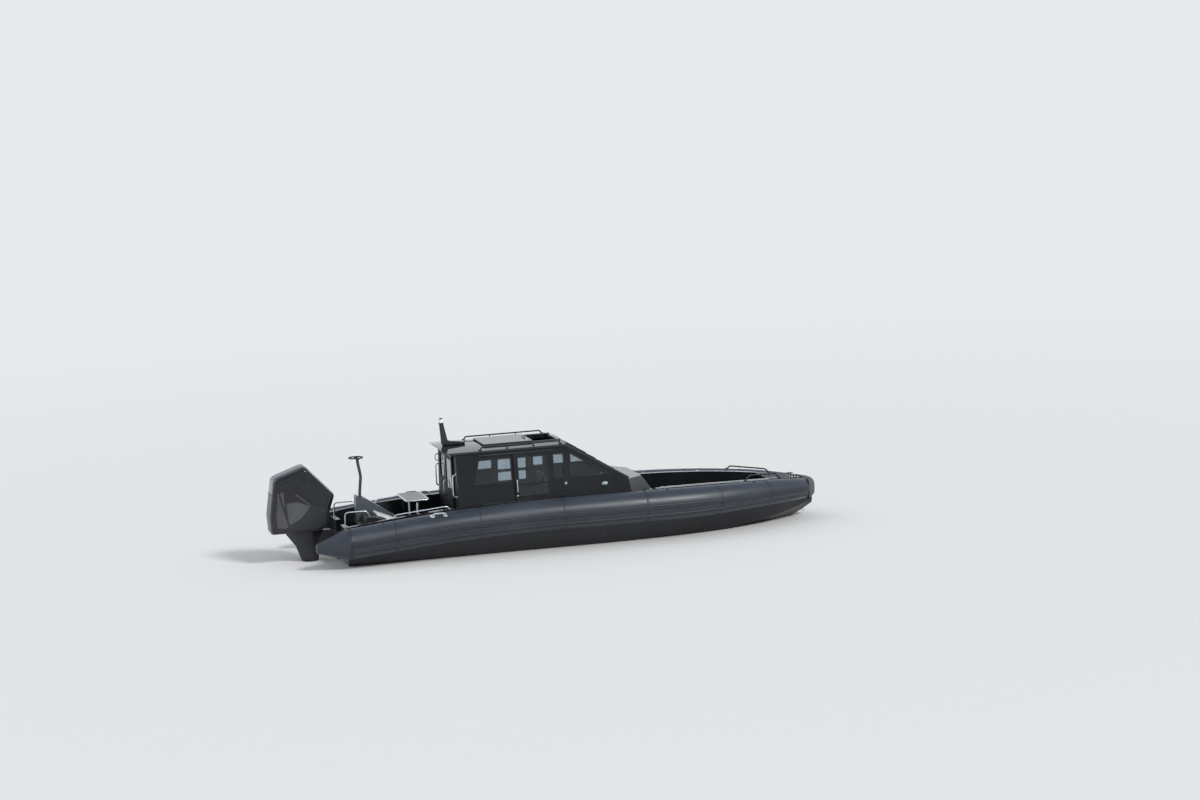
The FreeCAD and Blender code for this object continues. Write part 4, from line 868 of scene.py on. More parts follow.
@dataclass
class Palette:
    """Every finish on the boat."""

    gelcoat: Material = made(Coating(
        "hull_gelcoat", (0.009, 0.010, 0.013), (0.015, 0.017, 0.021), (0.08, 0.15), coat=0.15,
        grain_strength=0.05, salt=0.10))
    cabin: Material = made(Coating(
        "cabin_gloss", (0.008, 0.009, 0.011), (0.013, 0.014, 0.017), (0.07, 0.13), coat=0.25,
        grain_strength=0.05, salt=0.05, specular=0.5))
    panel: Material = made(Coating(
        "cabin_satin", (0.008, 0.0095, 0.012), (0.013, 0.0155, 0.019), (0.2, 0.3), grain_strength=0.06,
        salt=0.06, specular=0.25))
    wall: Material = made(Coating(
        "wall_matt", (0.008, 0.009, 0.011), (0.014, 0.016, 0.019), (0.5, 0.6), grain_strength=0.1,
        salt=0.05, specular=0.2))
    # Pale paint: the tube handles' own colour, and a painted highlight on the gunwale strip.
    trim_and_painted_highlight: Material = made(Coating(
        "pale_trim_and_painted_highlight", (0.42, 0.44, 0.46), (0.55, 0.57, 0.60), (0.25, 0.35), salt=0.05))
    tube: Material = made(TubeFabric("tube_fabric", (0.020, 0.026, 0.036), (0.030, 0.038, 0.052)))
    nose: Material = made(Coating(
        "nose_rubber", (0.05, 0.054, 0.06), (0.085, 0.09, 0.098), (0.5, 0.62), grain_scale=260.0,
        grain_strength=0.4, grain_depth=0.0006, salt=0.2))
    strake: Material = made(Coating(
        "strake_rubber", (0.017, 0.020, 0.026), (0.027, 0.032, 0.040), (0.38, 0.52), grain_scale=300.0,
        grain_strength=0.35, grain_depth=0.0005, salt=0.14))
    seal: Material = made(Coating(
        "seal_rubber", (0.012, 0.012, 0.013), (0.02, 0.02, 0.022), (0.5, 0.65), grain_strength=0.3,
        salt=0.05))
    deck: Material = made(Coating(
        "deck_coating", (0.045, 0.047, 0.052), (0.07, 0.073, 0.08), (0.6, 0.75), grain_scale=240.0,
        grain_strength=0.7, grain_depth=0.0012, tread=0.8, salt=0.1))
    moulding: Material = made(Coating(
        "black_moulding", (0.018, 0.019, 0.022), (0.03, 0.032, 0.036), (0.22, 0.34), grain_scale=360.0,
        grain_strength=0.25, salt=0.1))
    fairing: Material = made(Coating(
        "fairing_coat", (0.05, 0.062, 0.08), (0.075, 0.09, 0.112), (0.2, 0.32), coat=0.2, salt=0.08))
    engine_gloss: Material = made(Coating(
        "engine_gloss", (0.007, 0.008, 0.010), (0.012, 0.014, 0.017), (0.07, 0.13), coat=0.15,
        grain_strength=0.04, salt=0.05))
    engine_panel: Material = made(Coating(
        "engine_panel", (0.060, 0.062, 0.066), (0.095, 0.098, 0.104), (0.24, 0.36), metallic=0.2,
        grain_strength=0.1, salt=0.12))
    engine_satin: Material = made(Coating(
        "engine_satin", (0.022, 0.023, 0.027), (0.034, 0.036, 0.041), (0.28, 0.4), metallic=0.15,
        grain_strength=0.12, salt=0.1))
    pole: Material = made(Coating(
        "pole_coat", (0.045, 0.048, 0.048), (0.075, 0.078, 0.076), (0.3, 0.42), metallic=0.3,
        grain_strength=0.12, salt=0.1))
    seat: Material = made(SewnVinyl("seat_vinyl", (0.03, 0.03, 0.034), (0.05, 0.05, 0.055)))
    pad: Material = made(SewnVinyl("pad_vinyl", (0.5, 0.5, 0.49), (0.66, 0.66, 0.64)))
    alloy: Material = made(BrightMetal("bright_alloy", (0.60, 0.61, 0.63), (0.74, 0.75, 0.76), (0.2, 0.34)))
    rail: Material = made(Coating(
        "black_rail", (0.016, 0.017, 0.02), (0.028, 0.03, 0.034), (0.2, 0.3), grain_scale=500.0,
        grain_strength=0.12, salt=0.1))
    board: Material = made(Coating(
        "table_laminate", (0.014, 0.015, 0.018), (0.024, 0.026, 0.03), (0.12, 0.2), salt=0.08))
    blade: Material = made(BrightMetal("propeller_steel", (0.5, 0.5, 0.5), (0.68, 0.67, 0.65), (0.16, 0.3)))
    glass: Material = made(TintedGlass("tinted_glass", (0.58, 0.65, 0.70)))
    screen: Material = made(ScreenGlass("instrument_screen"))
    white_lens: Material = made(LampLens("white_lens", (0.85, 0.86, 0.86), 0.15))
    green_lens: Material = made(LampLens("green_lens", (0.34, 0.62, 0.50)))
    red_lens: Material = made(LampLens("red_lens", (0.62, 0.30, 0.30)))


@dataclass
class Hull:
    """The moulded hull: its smooth skin, spray rails, decks, and a pale gunwale strip that is a painted
    highlight.
    """

    skin: float = 0.004
    stern_x: float = -4.404
    bow_x: float = 4.952
    stem_x: float = 4.62
    stem_z: float = 0.38
    chine_flat: float = 0.04
    step_x: float = 1.75
    step_rise: float = 0.038
    step_run: float = 1.3
    rail_width: float = 0.056
    rail_depth: float = 0.030
    rails: tuple[tuple[float, float], ...] = ((0.36, 4.42), (0.70, 3.95))
    # Inset and run of the pale gunwale strip, a painted highlight.
    highlight_inset: float = 0.118
    highlight_run: tuple[float, float] = (1.66, 4.16)
    # Places across and up the transom of the scuppers and the drain plug
    drains: tuple[tuple[float, float], ...] = ((0.72, 0.10), (0.86, 0.10), (0.20, -0.30))
    mat: float = 0.008
    bow_mat: tuple[float, float] = (3.98, 4.50)
    # Aft end, front end, half-width and foot of each mat
    mats: tuple[tuple[float, float, float, float], ...] = (
        (-4.22, -3.97, 0.90, 0.148), (-3.15, -2.78, 0.86, 0.148), (-2.35, -2.27, 0.52, 0.148),
        (1.60, 2.55, 0.70, 0.228), (2.58, 3.20, 0.60, 0.228), (3.23, 3.80, 0.42, 0.228),
        (-2.16, -1.86, 0.86, -0.002), (-1.26, -0.42, 0.86, -0.002), (0.20, 0.52, 0.86, -0.002),
    )

    def rows(self, x: Array) -> Array:
        """Keel z, chine y, chine z, edge y, sheer y and sheer z at each place."""
        keel, chine, chine_z, flat, sheer, sheer_z = fair(HULL_ROWS, x).T
        chine_y = chine * HULL_HALF
        edge_y = chine_y + self.chine_flat * flat
        return np.stack([keel, chine_y, chine_z, edge_y, sheer * HULL_HALF, sheer_z], axis=1)

    def raised(self, x: Array) -> Array:
        """How far the bottom is raised behind its step, falling off evenly going aft."""
        behind = np.clip((x - (self.step_x - self.step_run)) / self.step_run, 0, 1)
        return np.where(x < self.step_x, behind * self.step_rise, 0.0)

    def outline(self, x: Array, proud: float) -> Array:
        """Sections of the bottom and side.

        Straight lines from keel to chine, over the chine flat to its edge, and up to the
        sheer, moved outward by the given distance.

        Args:
            x: Places along the hull.
            proud: Distance outside the moulded form.

        Returns:
            Points from the starboard sheer round the keel to the port sheer.
        """
        keel, chine_y, chine_z, edge_y, sheer_y, sheer_z = self.rows(x).T
        rise = self.raised(x)
        keel, chine_z = keel + rise, chine_z + rise
        top = np.where(x > self.stem_x, np.minimum(sheer_z, self.stem_z), sheer_z - 0.006)
        reach = np.clip((top - chine_z) / (sheer_z - chine_z), 0.05, 1)
        t = np.linspace(0, 1, 14)
        bottom_y = chine_y[:, None] * t
        bottom_z = keel[:, None] + (chine_z - keel)[:, None] * t - proud
        side_y = edge_y[:, None] + ((sheer_y - edge_y) * reach)[:, None] * t + proud
        side_z = chine_z[:, None] + ((sheer_z - chine_z) * reach)[:, None] * t
        side_z[:, 0] -= proud
        half_y = np.concatenate([bottom_y, side_y], axis=1)
        half_z = np.concatenate([bottom_z, side_z], axis=1)
        y = np.concatenate([-half_y[:, ::-1], half_y[:, 1:]], axis=1)
        z = np.concatenate([half_z[:, ::-1], half_z[:, 1:]], axis=1)
        return np.stack([np.broadcast_to(x[:, None], y.shape), y, z], axis=-1)

    def shell(self) -> Surface:
        """The hull's outer skin, a thin closed wall over the moulded form."""
        x = np.concatenate([
            np.linspace(self.stern_x, self.step_x - 1e-4, 120),
            np.linspace(self.step_x + 1e-4, self.bow_x, 110),
        ])
        return walled(self.outline(x, self.skin), self.outline(x, -0.002))

    def spray_rail(self, share: float, tip: float) -> Surface:
        """A wedge along the bottom at a share of the way from keel to chine, narrowing to its tip.

        Args:
            share: Share of the way from keel to chine.
            tip: Front end of the rail.

        Returns:
            The closed skin.
        """
        x = np.linspace(-4.38, tip, 150)
        keel, chine_y, chine_z = self.rows(x)[:, :3].T
        rise = self.raised(x)
        middle = np.stack([x, -chine_y * share, keel + (chine_z - keel) * share + rise], axis=1)
        along = unit(np.stack([0 * x, -chine_y, chine_z - keel], axis=1))
        down = np.stack([0 * x, -along[:, 2], along[:, 1]], axis=1)
        fade = np.minimum(1.0, 0.12 + (tip - x) / 0.9)[:, None]
        width, depth = self.rail_width * fade, self.rail_depth * fade
        ring = [
            middle - along * width - down * 0.01,
            middle - down * 0.01,
            middle + down * (depth - 0.004),
            middle + down * depth - along * 0.006,
            middle - along * width,
        ]
        return Surface.tube(np.stack(ring, axis=1))

    def trim_and_painted_highlight(self) -> Surface:
        """Pale strip along the inner edge of the starboard gunwale, from the cabin to the bow: a painted
        highlight where the edge catches the light.
        """
        x = np.linspace(*self.highlight_run, 70)
        rows = self.rows(x)
        path = np.stack([x, -(rows[:, 4] - self.highlight_inset), rows[:, 5] + 0.002], axis=1)
        profile = circle(0.008, 12) * np.array([1.3, 0.8])
        return carried(path, profile)

    def build(self, paint: Palette) -> None:
        """Makes the hull's pieces.

        Args:
            paint: The finishes.
        """
        dressed("hull", paint.gelcoat)
        piece("hull_skin", self.shell(), paint.gelcoat, angle=24)
        rails = [self.spray_rail(share, tip) for share, tip in self.rails]
        piece("spray_rails", Surface.joined(rails).both(), paint.gelcoat, angle=30)
        # The pale gunwale strip is a painted highlight along the edge.
        piece("gunwale_painted_highlight", self.trim_and_painted_highlight().both(), paint.trim_and_painted_highlight)
        self.fittings(paint)
        for name in ("bulwark_starboard", "bulwark_port", "foredeck"):
            softened(name, paint.gelcoat, 0.008)
        softened("transom", paint.gelcoat, 0.010)
        softened("fore_bulkhead", paint.gelcoat, 0.008)
        self.soles(paint)

    def fittings(self, paint: Palette) -> None:
        """Small deck fittings: filler caps, lashing studs, and scuppers and a plug in the transom.

        Args:
            paint: The finishes.
        """
        x = np.array([-3.62, 1.70, 1.83, 2.9])
        rows = self.rows(x)
        cap = [
            (-0.004, 0.034), (0.004, 0.036), (0.008, 0.032), (0.008, 0.020), (0.011, 0.018),
            (0.012, 0.006),
        ]
        stud = [(-0.004, 0.016), (0.006, 0.016), (0.014, 0.010), (0.022, 0.013), (0.026, 0.008)]
        parts = [
            spun(shape, (place, -row[4] + 0.06, row[5]), UP, 28)
            for place, row, shape in zip(x, rows, (cap, stud, stud, cap))
        ]
        scupper = [(-0.004, 0.036), (0.006, 0.036), (0.009, 0.030), (0.004, 0.024), (0.003, 0.006)]
        parts += [spun(scupper, (self.stern_x, -y, z), -AHEAD, 28) for y, z in self.drains]
        piece("deck_fittings", Surface.joined(parts).both(), paint.alloy)

    def soles(self, paint: Palette) -> None:
        """Anti-slip mats on the cockpit soles and the foredeck.

        Args:
            paint: The finishes.
        """
        mats = [
            soft_box((aft, -half, foot), (front, half, foot + self.mat), self.mat / 2)
            for aft, front, half, foot in self.mats
        ]
        piece("deck_mats", Surface.joined(mats), paint.deck)
        x = np.linspace(*self.bow_mat, 30)
        rows = self.rows(x)
        across = np.linspace(-1, 1, 25)
        y = (rows[:, 4] - 0.05)[:, None] * across
        x, z = np.broadcast_to(x[:, None], y.shape), np.broadcast_to(rows[:, 5:] + self.mat / 2, y.shape)
        top = np.stack([x, y, z], axis=-1)
        under = top - self.mat * UP
        piece("bow_mat", walled(top, under), paint.deck)


@dataclass
class Tubes:
    """The inflated tubes with their seams, cones, nose cap, rubbing strakes and fittings."""

    arc: float = 152.0
    seam_x: float = 4.78
    cone: float = 0.56
    cone_drop: float = 0.03
    cone_tip: float = 0.095
    stern_x: float = -4.44
    seam_arc: float = 150.0
    nose_tip: float = 5.0
    nose_z: float = 0.562
    nose_run: float = 0.22
    nose_half_height: float = 0.192
    nose_edge: float = 0.135
    tape: float = 0.045
    tapes: tuple[float, ...] = (-3.55, -1.95, -0.35, 1.25, 2.7, 3.75)
    valves: tuple[float, ...] = (-3.75, -1.4, 1.7, 3.5)
    # Angle above outboard, half-width and height of each strake
    strakes: tuple[tuple[float, float, float], ...] = ((2.0, 0.048, 0.024), (-33.0, 0.029, 0.0144))

    def frames(self, x: Array) -> tuple[Array, Array, Array]:
        """Centre, outward direction and radius of the starboard tube.

        Outward is the tube's direction in plan, from the slope of its centre line,
        turned a quarter turn to starboard.

        Args:
            x: Places along the tube.

        Returns:
            Centres, outward directions and radii.
        """
        share, z, radius = fair(TUBE_ROWS, x).T
        ahead, back = fair(TUBE_ROWS, x + 0.005)[:, 0], fair(TUBE_ROWS, x - 0.005)[:, 0]
        along = unit(np.stack([0 * x + 0.01, -(ahead - back) * HULL_HALF, 0 * x], axis=1))
        outward = np.cross(along, UP)
        return np.stack([x, -share * HULL_HALF, z], axis=1), outward, radius

    def on_skin(self, x: Array, angles: Array, proud: Array | float = 0.0) -> Array:
        """Points at angles in degrees above outboard, at a distance outside the tube."""
        centre, outward, radius = self.frames(x)
        turn = np.radians(angles)
        reach = (radius[:, None] + proud)[..., None]
        level = outward[:, None] * np.cos(turn)[..., None] * reach
        return centre[:, None] + level + UP * np.sin(turn)[..., None] * reach

    def tube(self) -> Surface:
        """The starboard tube: a circle along the centre line, run out to its stern cone and tip.

        Returns:
            The closed skin, its flat map in metres along the tube and round it.
        """
        x = np.concatenate([np.linspace(self.stern_x, 4.5, 230), np.linspace(4.51, 4.93, 40)])
        angles = np.linspace(-self.arc, self.arc, 61)
        body = self.on_skin(x, angles[None])
        body[..., 0] = np.minimum(body[..., 0], self.seam_x)
        centre, outward, radius = self.frames(x[:1])
        t = np.concatenate([np.linspace(0, 1, 26)[:-1], np.ones(10)])[::-1]
        ease = np.concatenate([np.zeros(25), np.linspace(0, 1, 10)])[::-1]
        narrow = radius[0] + (self.cone_tip - radius[0]) * t
        narrow = np.where(ease > 0, self.cone_tip * np.sqrt(np.maximum(1 - ease ** 2, 1e-4)), narrow)
        middle = centre - np.stack([self.cone * t + 0.035 * ease, 0 * t, self.cone_drop * t], axis=1)
        turn = np.radians(angles)
        round_ring = outward[0] * np.cos(turn)[:, None] + UP * np.sin(turn)[:, None]
        cone = middle[:, None] + round_ring[None] * narrow[:, None, None]
        points = np.concatenate([cone[:-1], body])
        steps = np.linalg.norm(np.diff(points[:, 30], axis=0), axis=1)
        run = np.concatenate([[0], np.cumsum(steps)])
        uv = np.stack(np.broadcast_arrays(run[:, None], np.radians(angles)[None] * 0.29), axis=-1)
        return Surface.tube(points, uv)

    def band(self, x: float, wide: float, proud: float, low: float, high: float) -> Surface:
        """A welded tape round the starboard tube between two angles, standing a little proud."""
        places = np.linspace(x - wide / 2, x + wide / 2, 9)
        rise = proud * (1 - np.abs(np.linspace(-1, 1, 9)) ** 6)[:, None] + 0.0004
        angles = np.linspace(low, high, 61)[None]
        outer = self.on_skin(places, angles, rise)
        return walled(outer, self.on_skin(places, angles, -0.004))

    def ring_places(self, x: float, angles: Array) -> Array:
        """Centre-line places whose skin points, one at each angle, all lie at the same x."""
        places, turn = np.full(len(angles), x), np.radians(angles)
        for _ in range(14):
            centre, outward, radius = self.frames(places)
            places = places + x - centre[:, 0] - outward[:, 0] * np.cos(turn) * radius
        return places

    def nose_seam(self) -> Surface:
        """The flat band that covers the tube's joint with the nose cap, square to the boat's length.

        Returns:
            The closed skin.
        """
        angles = np.linspace(-self.seam_arc, self.seam_arc, 61)
        turn = np.radians(angles)
        rows = []
        edge = (
            (-0.032, -0.004), (-0.031, 0.004), (-0.025, 0.006), (-0.008, 0.006), (-0.002, 0.004),
            (-0.001, -0.004),
        )
        for shift, rise in edge:
            x = self.seam_x + shift
            centre, outward, radius = self.frames(self.ring_places(x, angles))
            reach = (radius + rise)[:, None]
            out = outward * np.cos(turn)[:, None] + UP * np.sin(turn)[:, None]
            ring = centre + out * reach
            ring[:, 0] = x
            rows.append(ring)
        outer = np.stack(rows)
        inner = outer.copy()
        middle = np.array([0.0, outer[..., 1].mean(), outer[..., 2].mean()])
        inner[..., 1:] = middle[1:] + (outer[..., 1:] - middle[1:]) * 0.93
        return walled(outer, inner)

    def strake(self, angle: float, half: float, proud: float) -> Surface:
        """A rounded rubbing strip along the tube, with two grooves, sloped down at its stern end.

        Args:
            angle: Angle above outboard, in degrees.
            half: Half of the width round the tube.
            proud: Height over the skin.

        Returns:
            The closed skin.
        """
        x = np.concatenate([np.linspace(self.stern_x, -4.34, 12), np.linspace(-4.33, 4.93, 250)])
        radius = self.frames(x)[2]
        share = np.linspace(-1, 1, 25)
        height = proud * (1 - np.abs(share) ** 5) * (1 - 0.16 * (np.abs(np.abs(share) - 0.38) < 0.07))
        fade = np.sin(np.clip((x - self.stern_x) / 0.09, 0, 1) * np.pi / 2)[:, None]
        angles = angle + np.degrees(half / radius)[:, None] * share[None]
        outer = self.on_skin(x, angles, height[None] * fade)
        inner = self.on_skin(x, angles, -0.006)
        for skin in (outer, inner):
            skin[..., 0] = np.minimum(skin[..., 0], self.seam_x)
        return walled(outer, inner)

    def nose(self) -> Surface:
        """The moulded nose: a rounded rim turned through half a circle about an upright axis.

        Returns:
            The closed skin.
        """
        centre, outward, radius = self.frames(np.array([self.seam_x]))
        half = -centre[0, 1] - radius[0] / outward[0, 1]
        length, high, edge = self.nose_run, self.nose_half_height, self.nose_edge
        reach = (half ** 2 + length ** 2) / (2 * length)
        a = np.linspace(0, np.pi / 2, 16)
        rim = reach - edge * (1 - np.cos(a))
        up = high - edge * (1 - np.sin(a))
        out = np.concatenate([[0.3 * reach], rim[::-1], rim, [0.3 * reach]])
        up = np.concatenate([[-high], -up[::-1], up, [high]])
        limit = math.asin(half / reach)
        turn = np.linspace(-limit, limit, 81)[:, None]
        x = np.maximum(out * np.cos(turn) + self.nose_tip - reach, self.seam_x)
        points = np.stack([x, out * np.sin(turn), np.broadcast_to(up + self.nose_z, x.shape)], axis=-1)
        return Surface.tube(points)

    def spot(self, x: float, angle: float) -> tuple[Array, Array, Array]:
        """A place on the skin, the direction out of it, and the tube's own direction there."""
        centre, outward, radius = (part[0] for part in self.frames(np.array([x])))
        turn = math.radians(angle)
        out = outward * math.cos(turn) + UP * math.sin(turn)
        return centre + out * radius, out, np.cross(UP, outward)

    def handle(self, x: float, angle: float) -> Surface:
        """A moulded lifting handle bridging two pads on the tube."""
        foot, out, along = self.spot(x, angle)
        path = rounded([
            foot - along * 0.13 - out * 0.01, foot - along * 0.10 + out * 0.052,
            foot + along * 0.10 + out * 0.052, foot + along * 0.13 - out * 0.01,
        ], 0.035)
        grip = carried(path, circle(0.012, 14) * np.array([1.5, 0.8]), out)
        pad = [(-0.012, 0.030), (0.002, 0.052), (0.006, 0.048), (0.008, 0.02)]
        pads = [spun(pad, foot + along * shift, out, 28) for shift in (-0.125, 0.125)]
        return Surface.joined([grip, *pads])

    def valve(self, x: float, angle: float) -> Surface:
        """A round inflation valve cap."""
        place, out, _ = self.spot(x, angle)
        return spun([
            (-0.01, 0.03), (0.002, 0.032), (0.006, 0.029), (0.007, 0.021),
            (0.011, 0.02), (0.013, 0.016), (0.013, 0.004),
        ], place, out, 32)

    def build(self, paint: Palette) -> None:
        """Makes the tubes' pieces.

        Args:
            paint: The finishes.
        """
        starboard = self.tube()
        piece("tube_skin_starboard", starboard, paint.tube, replaces=("tube_starboard",))
        piece("tube_skin_port", starboard.mirrored(), paint.tube, replaces=("tube_port",))
        tapes = [self.band(x, self.tape, 0.0022, -self.seam_arc, self.seam_arc) for x in self.tapes]
        tapes.append(self.band(-4.40, 0.07, 0.0030, -self.seam_arc, self.seam_arc))
        piece("seam_tapes", Surface.joined(tapes).both(), paint.strake)
        strakes = [self.strake(*sizes) for sizes in self.strakes]
        piece("strake_strips", Surface.joined(strakes).both(), paint.strake,
              replaces=("rub_strakes",))
        piece("nose_cap", self.nose(), paint.nose, replaces=("tube_nose",))
        piece("nose_seam", self.nose_seam().both(), paint.seal)
        piece("tube_handles", self.handle(-2.72, 66.0).both(), paint.trim_and_painted_highlight)
        valves = [self.valve(x, 78.0) for x in self.valves]
        piece("tube_valves", Surface.joined(valves).both(), paint.moulding)


@dataclass
class Cabin:
    """The wheelhouse: panels, glass, doors, hatch, lamps, wipers, handles and rails."""

    base_half: float = 0.975
    lean: float = 0.14 / 0.985
    ledge_z: float = 0.9
    rail_half: float = 0.775
    mast_x: float = -2.32
    # Places on the side, as x and z
    lamp: tuple[float, float] = (0.58, 1.12)
    vent: tuple[float, float] = (-0.17, 1.19)
    lock: tuple[float, float] = (-1.12, 1.03)
    windows: tuple[Profile, ...] = (
        ((-1.91, 1.30), (-1.20, 1.30), (-1.20, 1.745), (-1.815, 1.745)),
        ((-0.385, 1.29), (-0.185, 1.29), (-0.185, 1.745), (-0.385, 1.745)),
        ((-0.055, 1.29), (0.69, 1.29), (-0.055, 1.742)),
    )
    door_panes: tuple[Profile, ...] = (
        ((-1.08, 1.252), (-0.51, 1.252), (-0.51, 1.746), (-1.08, 1.746)),
        ((-1.08, 1.026), (-0.51, 1.026), (-0.51, 1.218), (-1.08, 1.218)),
    )
    door_proud: float = 0.036
    wiper_places: tuple[float, float] = (-0.40, 0.40)
    wiper_swing: float = -0.14
    wiper_reach: float = 0.46
    wiper_half: float = 0.24
    screen_top: Point = (-0.13, 0.0, 1.885)
    screen_low: Point = (1.05, 0.0, 1.17)

    def half(self, z: float | Array, out: float = 0.0) -> float | Array:
        """Half-width of the leaning side at a height."""
        return self.base_half - self.lean * (z - self.ledge_z) + out

    def on_side(self, corners: Profile, out: float) -> list[Point]:
        """Places on the starboard side for pairs of x and z."""
        return [(x, -self.half(z, out), z) for x, z in corners]

    def gasket(self, corners: Profile, out: float, width: float = 0.011) -> Surface:
        """A closed rubber strip round an outline on the starboard side."""
        path = loop_line(self.on_side(corners, out), 0.03, 6)
        across = unit(np.array([0.0, -1.0, -self.lean]))
        return carried(path, circle(1.0, 12) * np.array([width, 0.006]), across, closed=True)

    def panels(self, paint: Palette) -> None:
        """The moulded panels, with rounded edges.

        Args:
            paint: The finishes.
        """
        for name in ("cabin_side_starboard", "cabin_side_port"):
            softened(name, paint.panel, 0.007)
        softened("aft_wall", paint.wall, 0.007)
        for name in ("cabin_brow", "roof", "windscreen_frame"):
            softened(name, paint.cabin, 0.007)
        softened("roof_hatch", paint.cabin, 0.006, Body.HATCH)
        softened("aft_door", paint.wall, 0.006, Body.AFT_DOOR)
        softened("side_door_starboard", paint.panel, 0.006, Body.STARBOARD_DOOR)
        softened("side_door_port", paint.panel, 0.006, Body.PORT_DOOR)
        softened("door_runners", paint.rail, 0.003)
        softened("hatch_runners", paint.rail, 0.003)
        softened("mast", paint.cabin, 0.018, segments=5)
        for name in ("cabin_glass", "aft_door_glass", "side_door_glass_starboard", "side_door_glass_port"):
            dressed(name, paint.glass)

    def seals(self, paint: Palette) -> None:
        """Rubber seals round the windows, on the fixed sides and on the doors.

        Args:
            paint: The finishes.
        """
        strips = [self.gasket(corners, 0.0) for corners in self.windows]
        piece("window_seals", Surface.joined(strips).both(), paint.seal)
        leaf = Surface.joined([self.gasket(corners, self.door_proud + 0.001) for corners in self.door_panes])
        piece("door_seals_starboard", leaf, paint.seal, Body.STARBOARD_DOOR)
        piece("door_seals_port", leaf.mirrored(), paint.seal, Body.PORT_DOOR)

    def door_furniture(self, paint: Palette) -> None:
        """Pull handles and locks on the sliding doors and the hatch.

        Args:
            paint: The finishes.
        """
        x, z = self.lock
        posts = self.on_side([(x, 1.10), (x, 1.34)], self.door_proud)
        out = np.array([0.0, -0.045, -0.006])
        low, high = (np.array(post) for post in posts)
        grip = bar([low - out * 0.3, low + out, high + out, high - out * 0.3], 0.03, 0.010, AHEAD, 16)
        lock = spun([(-0.004, 0.022), (0.006, 0.022), (0.009, 0.018), (0.010, 0.006)],
                    (x, -self.half(z, self.door_proud), z), (0, -1, -0.14), 28)
        leaf = Surface.joined([grip, lock])
        piece("door_handle_starboard", leaf, paint.alloy, Body.STARBOARD_DOOR)
        piece("door_handle_port", leaf.mirrored(), paint.alloy, Body.PORT_DOOR)
        line = [(-2.288, 0.0, 1.02), (-2.335, 0.0, 1.04), (-2.335, 0.0, 1.28), (-2.288, 0.0, 1.30)]
        grip = bar(line, 0.03, 0.010, sides=16)
        piece("aft_door_handle", grip, paint.alloy, Body.AFT_DOOR)
        line = [(-0.74, -0.12, 1.985), (-0.74, -0.11, 2.012), (-0.74, 0.11, 2.012), (-0.74, 0.12, 1.985)]
        piece("hatch_pull", bar(line, 0.02, 0.009, AHEAD, 14), paint.rail, Body.HATCH)

    def grab_handles(self, paint: Palette) -> None:
        """Upright handles at the aft corners, and a short one above the port handle."""
        bars = []
        for y in (-0.84, 0.80):
            line = [(-2.245, y, 1.08), (-2.32, y, 1.10), (-2.32, y, 1.50), (-2.245, y, 1.52)]
            bars.append(bar(line, 0.05, 0.014))
            foot = [(-0.006, 0.03), (0.006, 0.03), (0.010, 0.024), (0.011, 0.01)]
            bars += [spun(foot, (-2.252, y, z), -AHEAD, 28) for z in (1.08, 1.52)]
        line = [(-2.248, 0.855, 1.56), (-2.31, 0.86, 1.57), (-2.31, 0.86, 1.68), (-2.248, 0.855, 1.69)]
        bars.append(bar(line, 0.035, 0.011, sides=16))
        piece("grab_handles", Surface.joined(bars), paint.alloy)

    def lamps(self, paint: Palette) -> None:
        """Oval side lamps, small round vents, and the masthead light on its collar.

        Args:
            paint: The finishes.
        """
        turn = np.linspace(0, 2 * np.pi, 40, endpoint=False)
        ramp = np.linspace(0, 1, 8)[:, None]
        out = np.array([0.0, -1.0, -self.lean]) / math.hypot(1, self.lean)
        up = np.array([0.0, -self.lean, 1.0]) / math.hypot(1, self.lean)
        centre = np.array(self.on_side([self.lamp], 0.0)[0])
        shrink = np.sqrt(np.maximum(1 - ramp ** 2.6, 0.003))
        level = np.stack([np.cos(turn) * 0.050, np.sin(turn) * 0.022], axis=1)
        points = centre + shrink[..., None] * (level[None, :, :1] * AHEAD + level[None, :, 1:] * up)
        points = points + (ramp[..., None] * 0.022 - 0.002) * out
        lens = Surface.tube(points)
        piece("side_lamp_starboard", lens, paint.green_lens)
        piece("side_lamp_port", lens.mirrored(), paint.red_lens)
        ring = np.stack([np.cos(turn) * 0.056, np.sin(turn) * 0.028], axis=1)
        path = centre + ring[:, :1] * AHEAD + ring[:, 1:] * up
        bezel = carried(path, circle(0.008, 12), out, closed=True)
        vent = spun([(-0.004, 0.026), (0.005, 0.026), (0.009, 0.020), (0.007, 0.016), (0.007, 0.004)],
                    self.on_side([self.vent], 0.0)[0], out, 32)
        piece("lamp_bezels", Surface.joined([bezel, vent]).both(), paint.alloy)
        collar = spun(
            [(-0.012, 0.050), (0.0, 0.052), (0.008, 0.046), (0.012, 0.034)], (self.mast_x, 0, 2.39), UP, 36,
        )
        cap = spun(
            [(0.0, 0.034), (0.010, 0.036), (0.018, 0.030), (0.022, 0.012)], (self.mast_x, 0, 2.470), UP, 36,
        )
        piece("light_collar", Surface.joined([collar, cap]), paint.moulding)
        lens = spun(
            [(0.0, 0.033), (0.02, 0.0345), (0.055, 0.0345), (0.078, 0.033)], (self.mast_x, 0, 2.394), UP, 40,
        )
        piece("masthead_light", lens, paint.white_lens, replaces=("mast_light",))

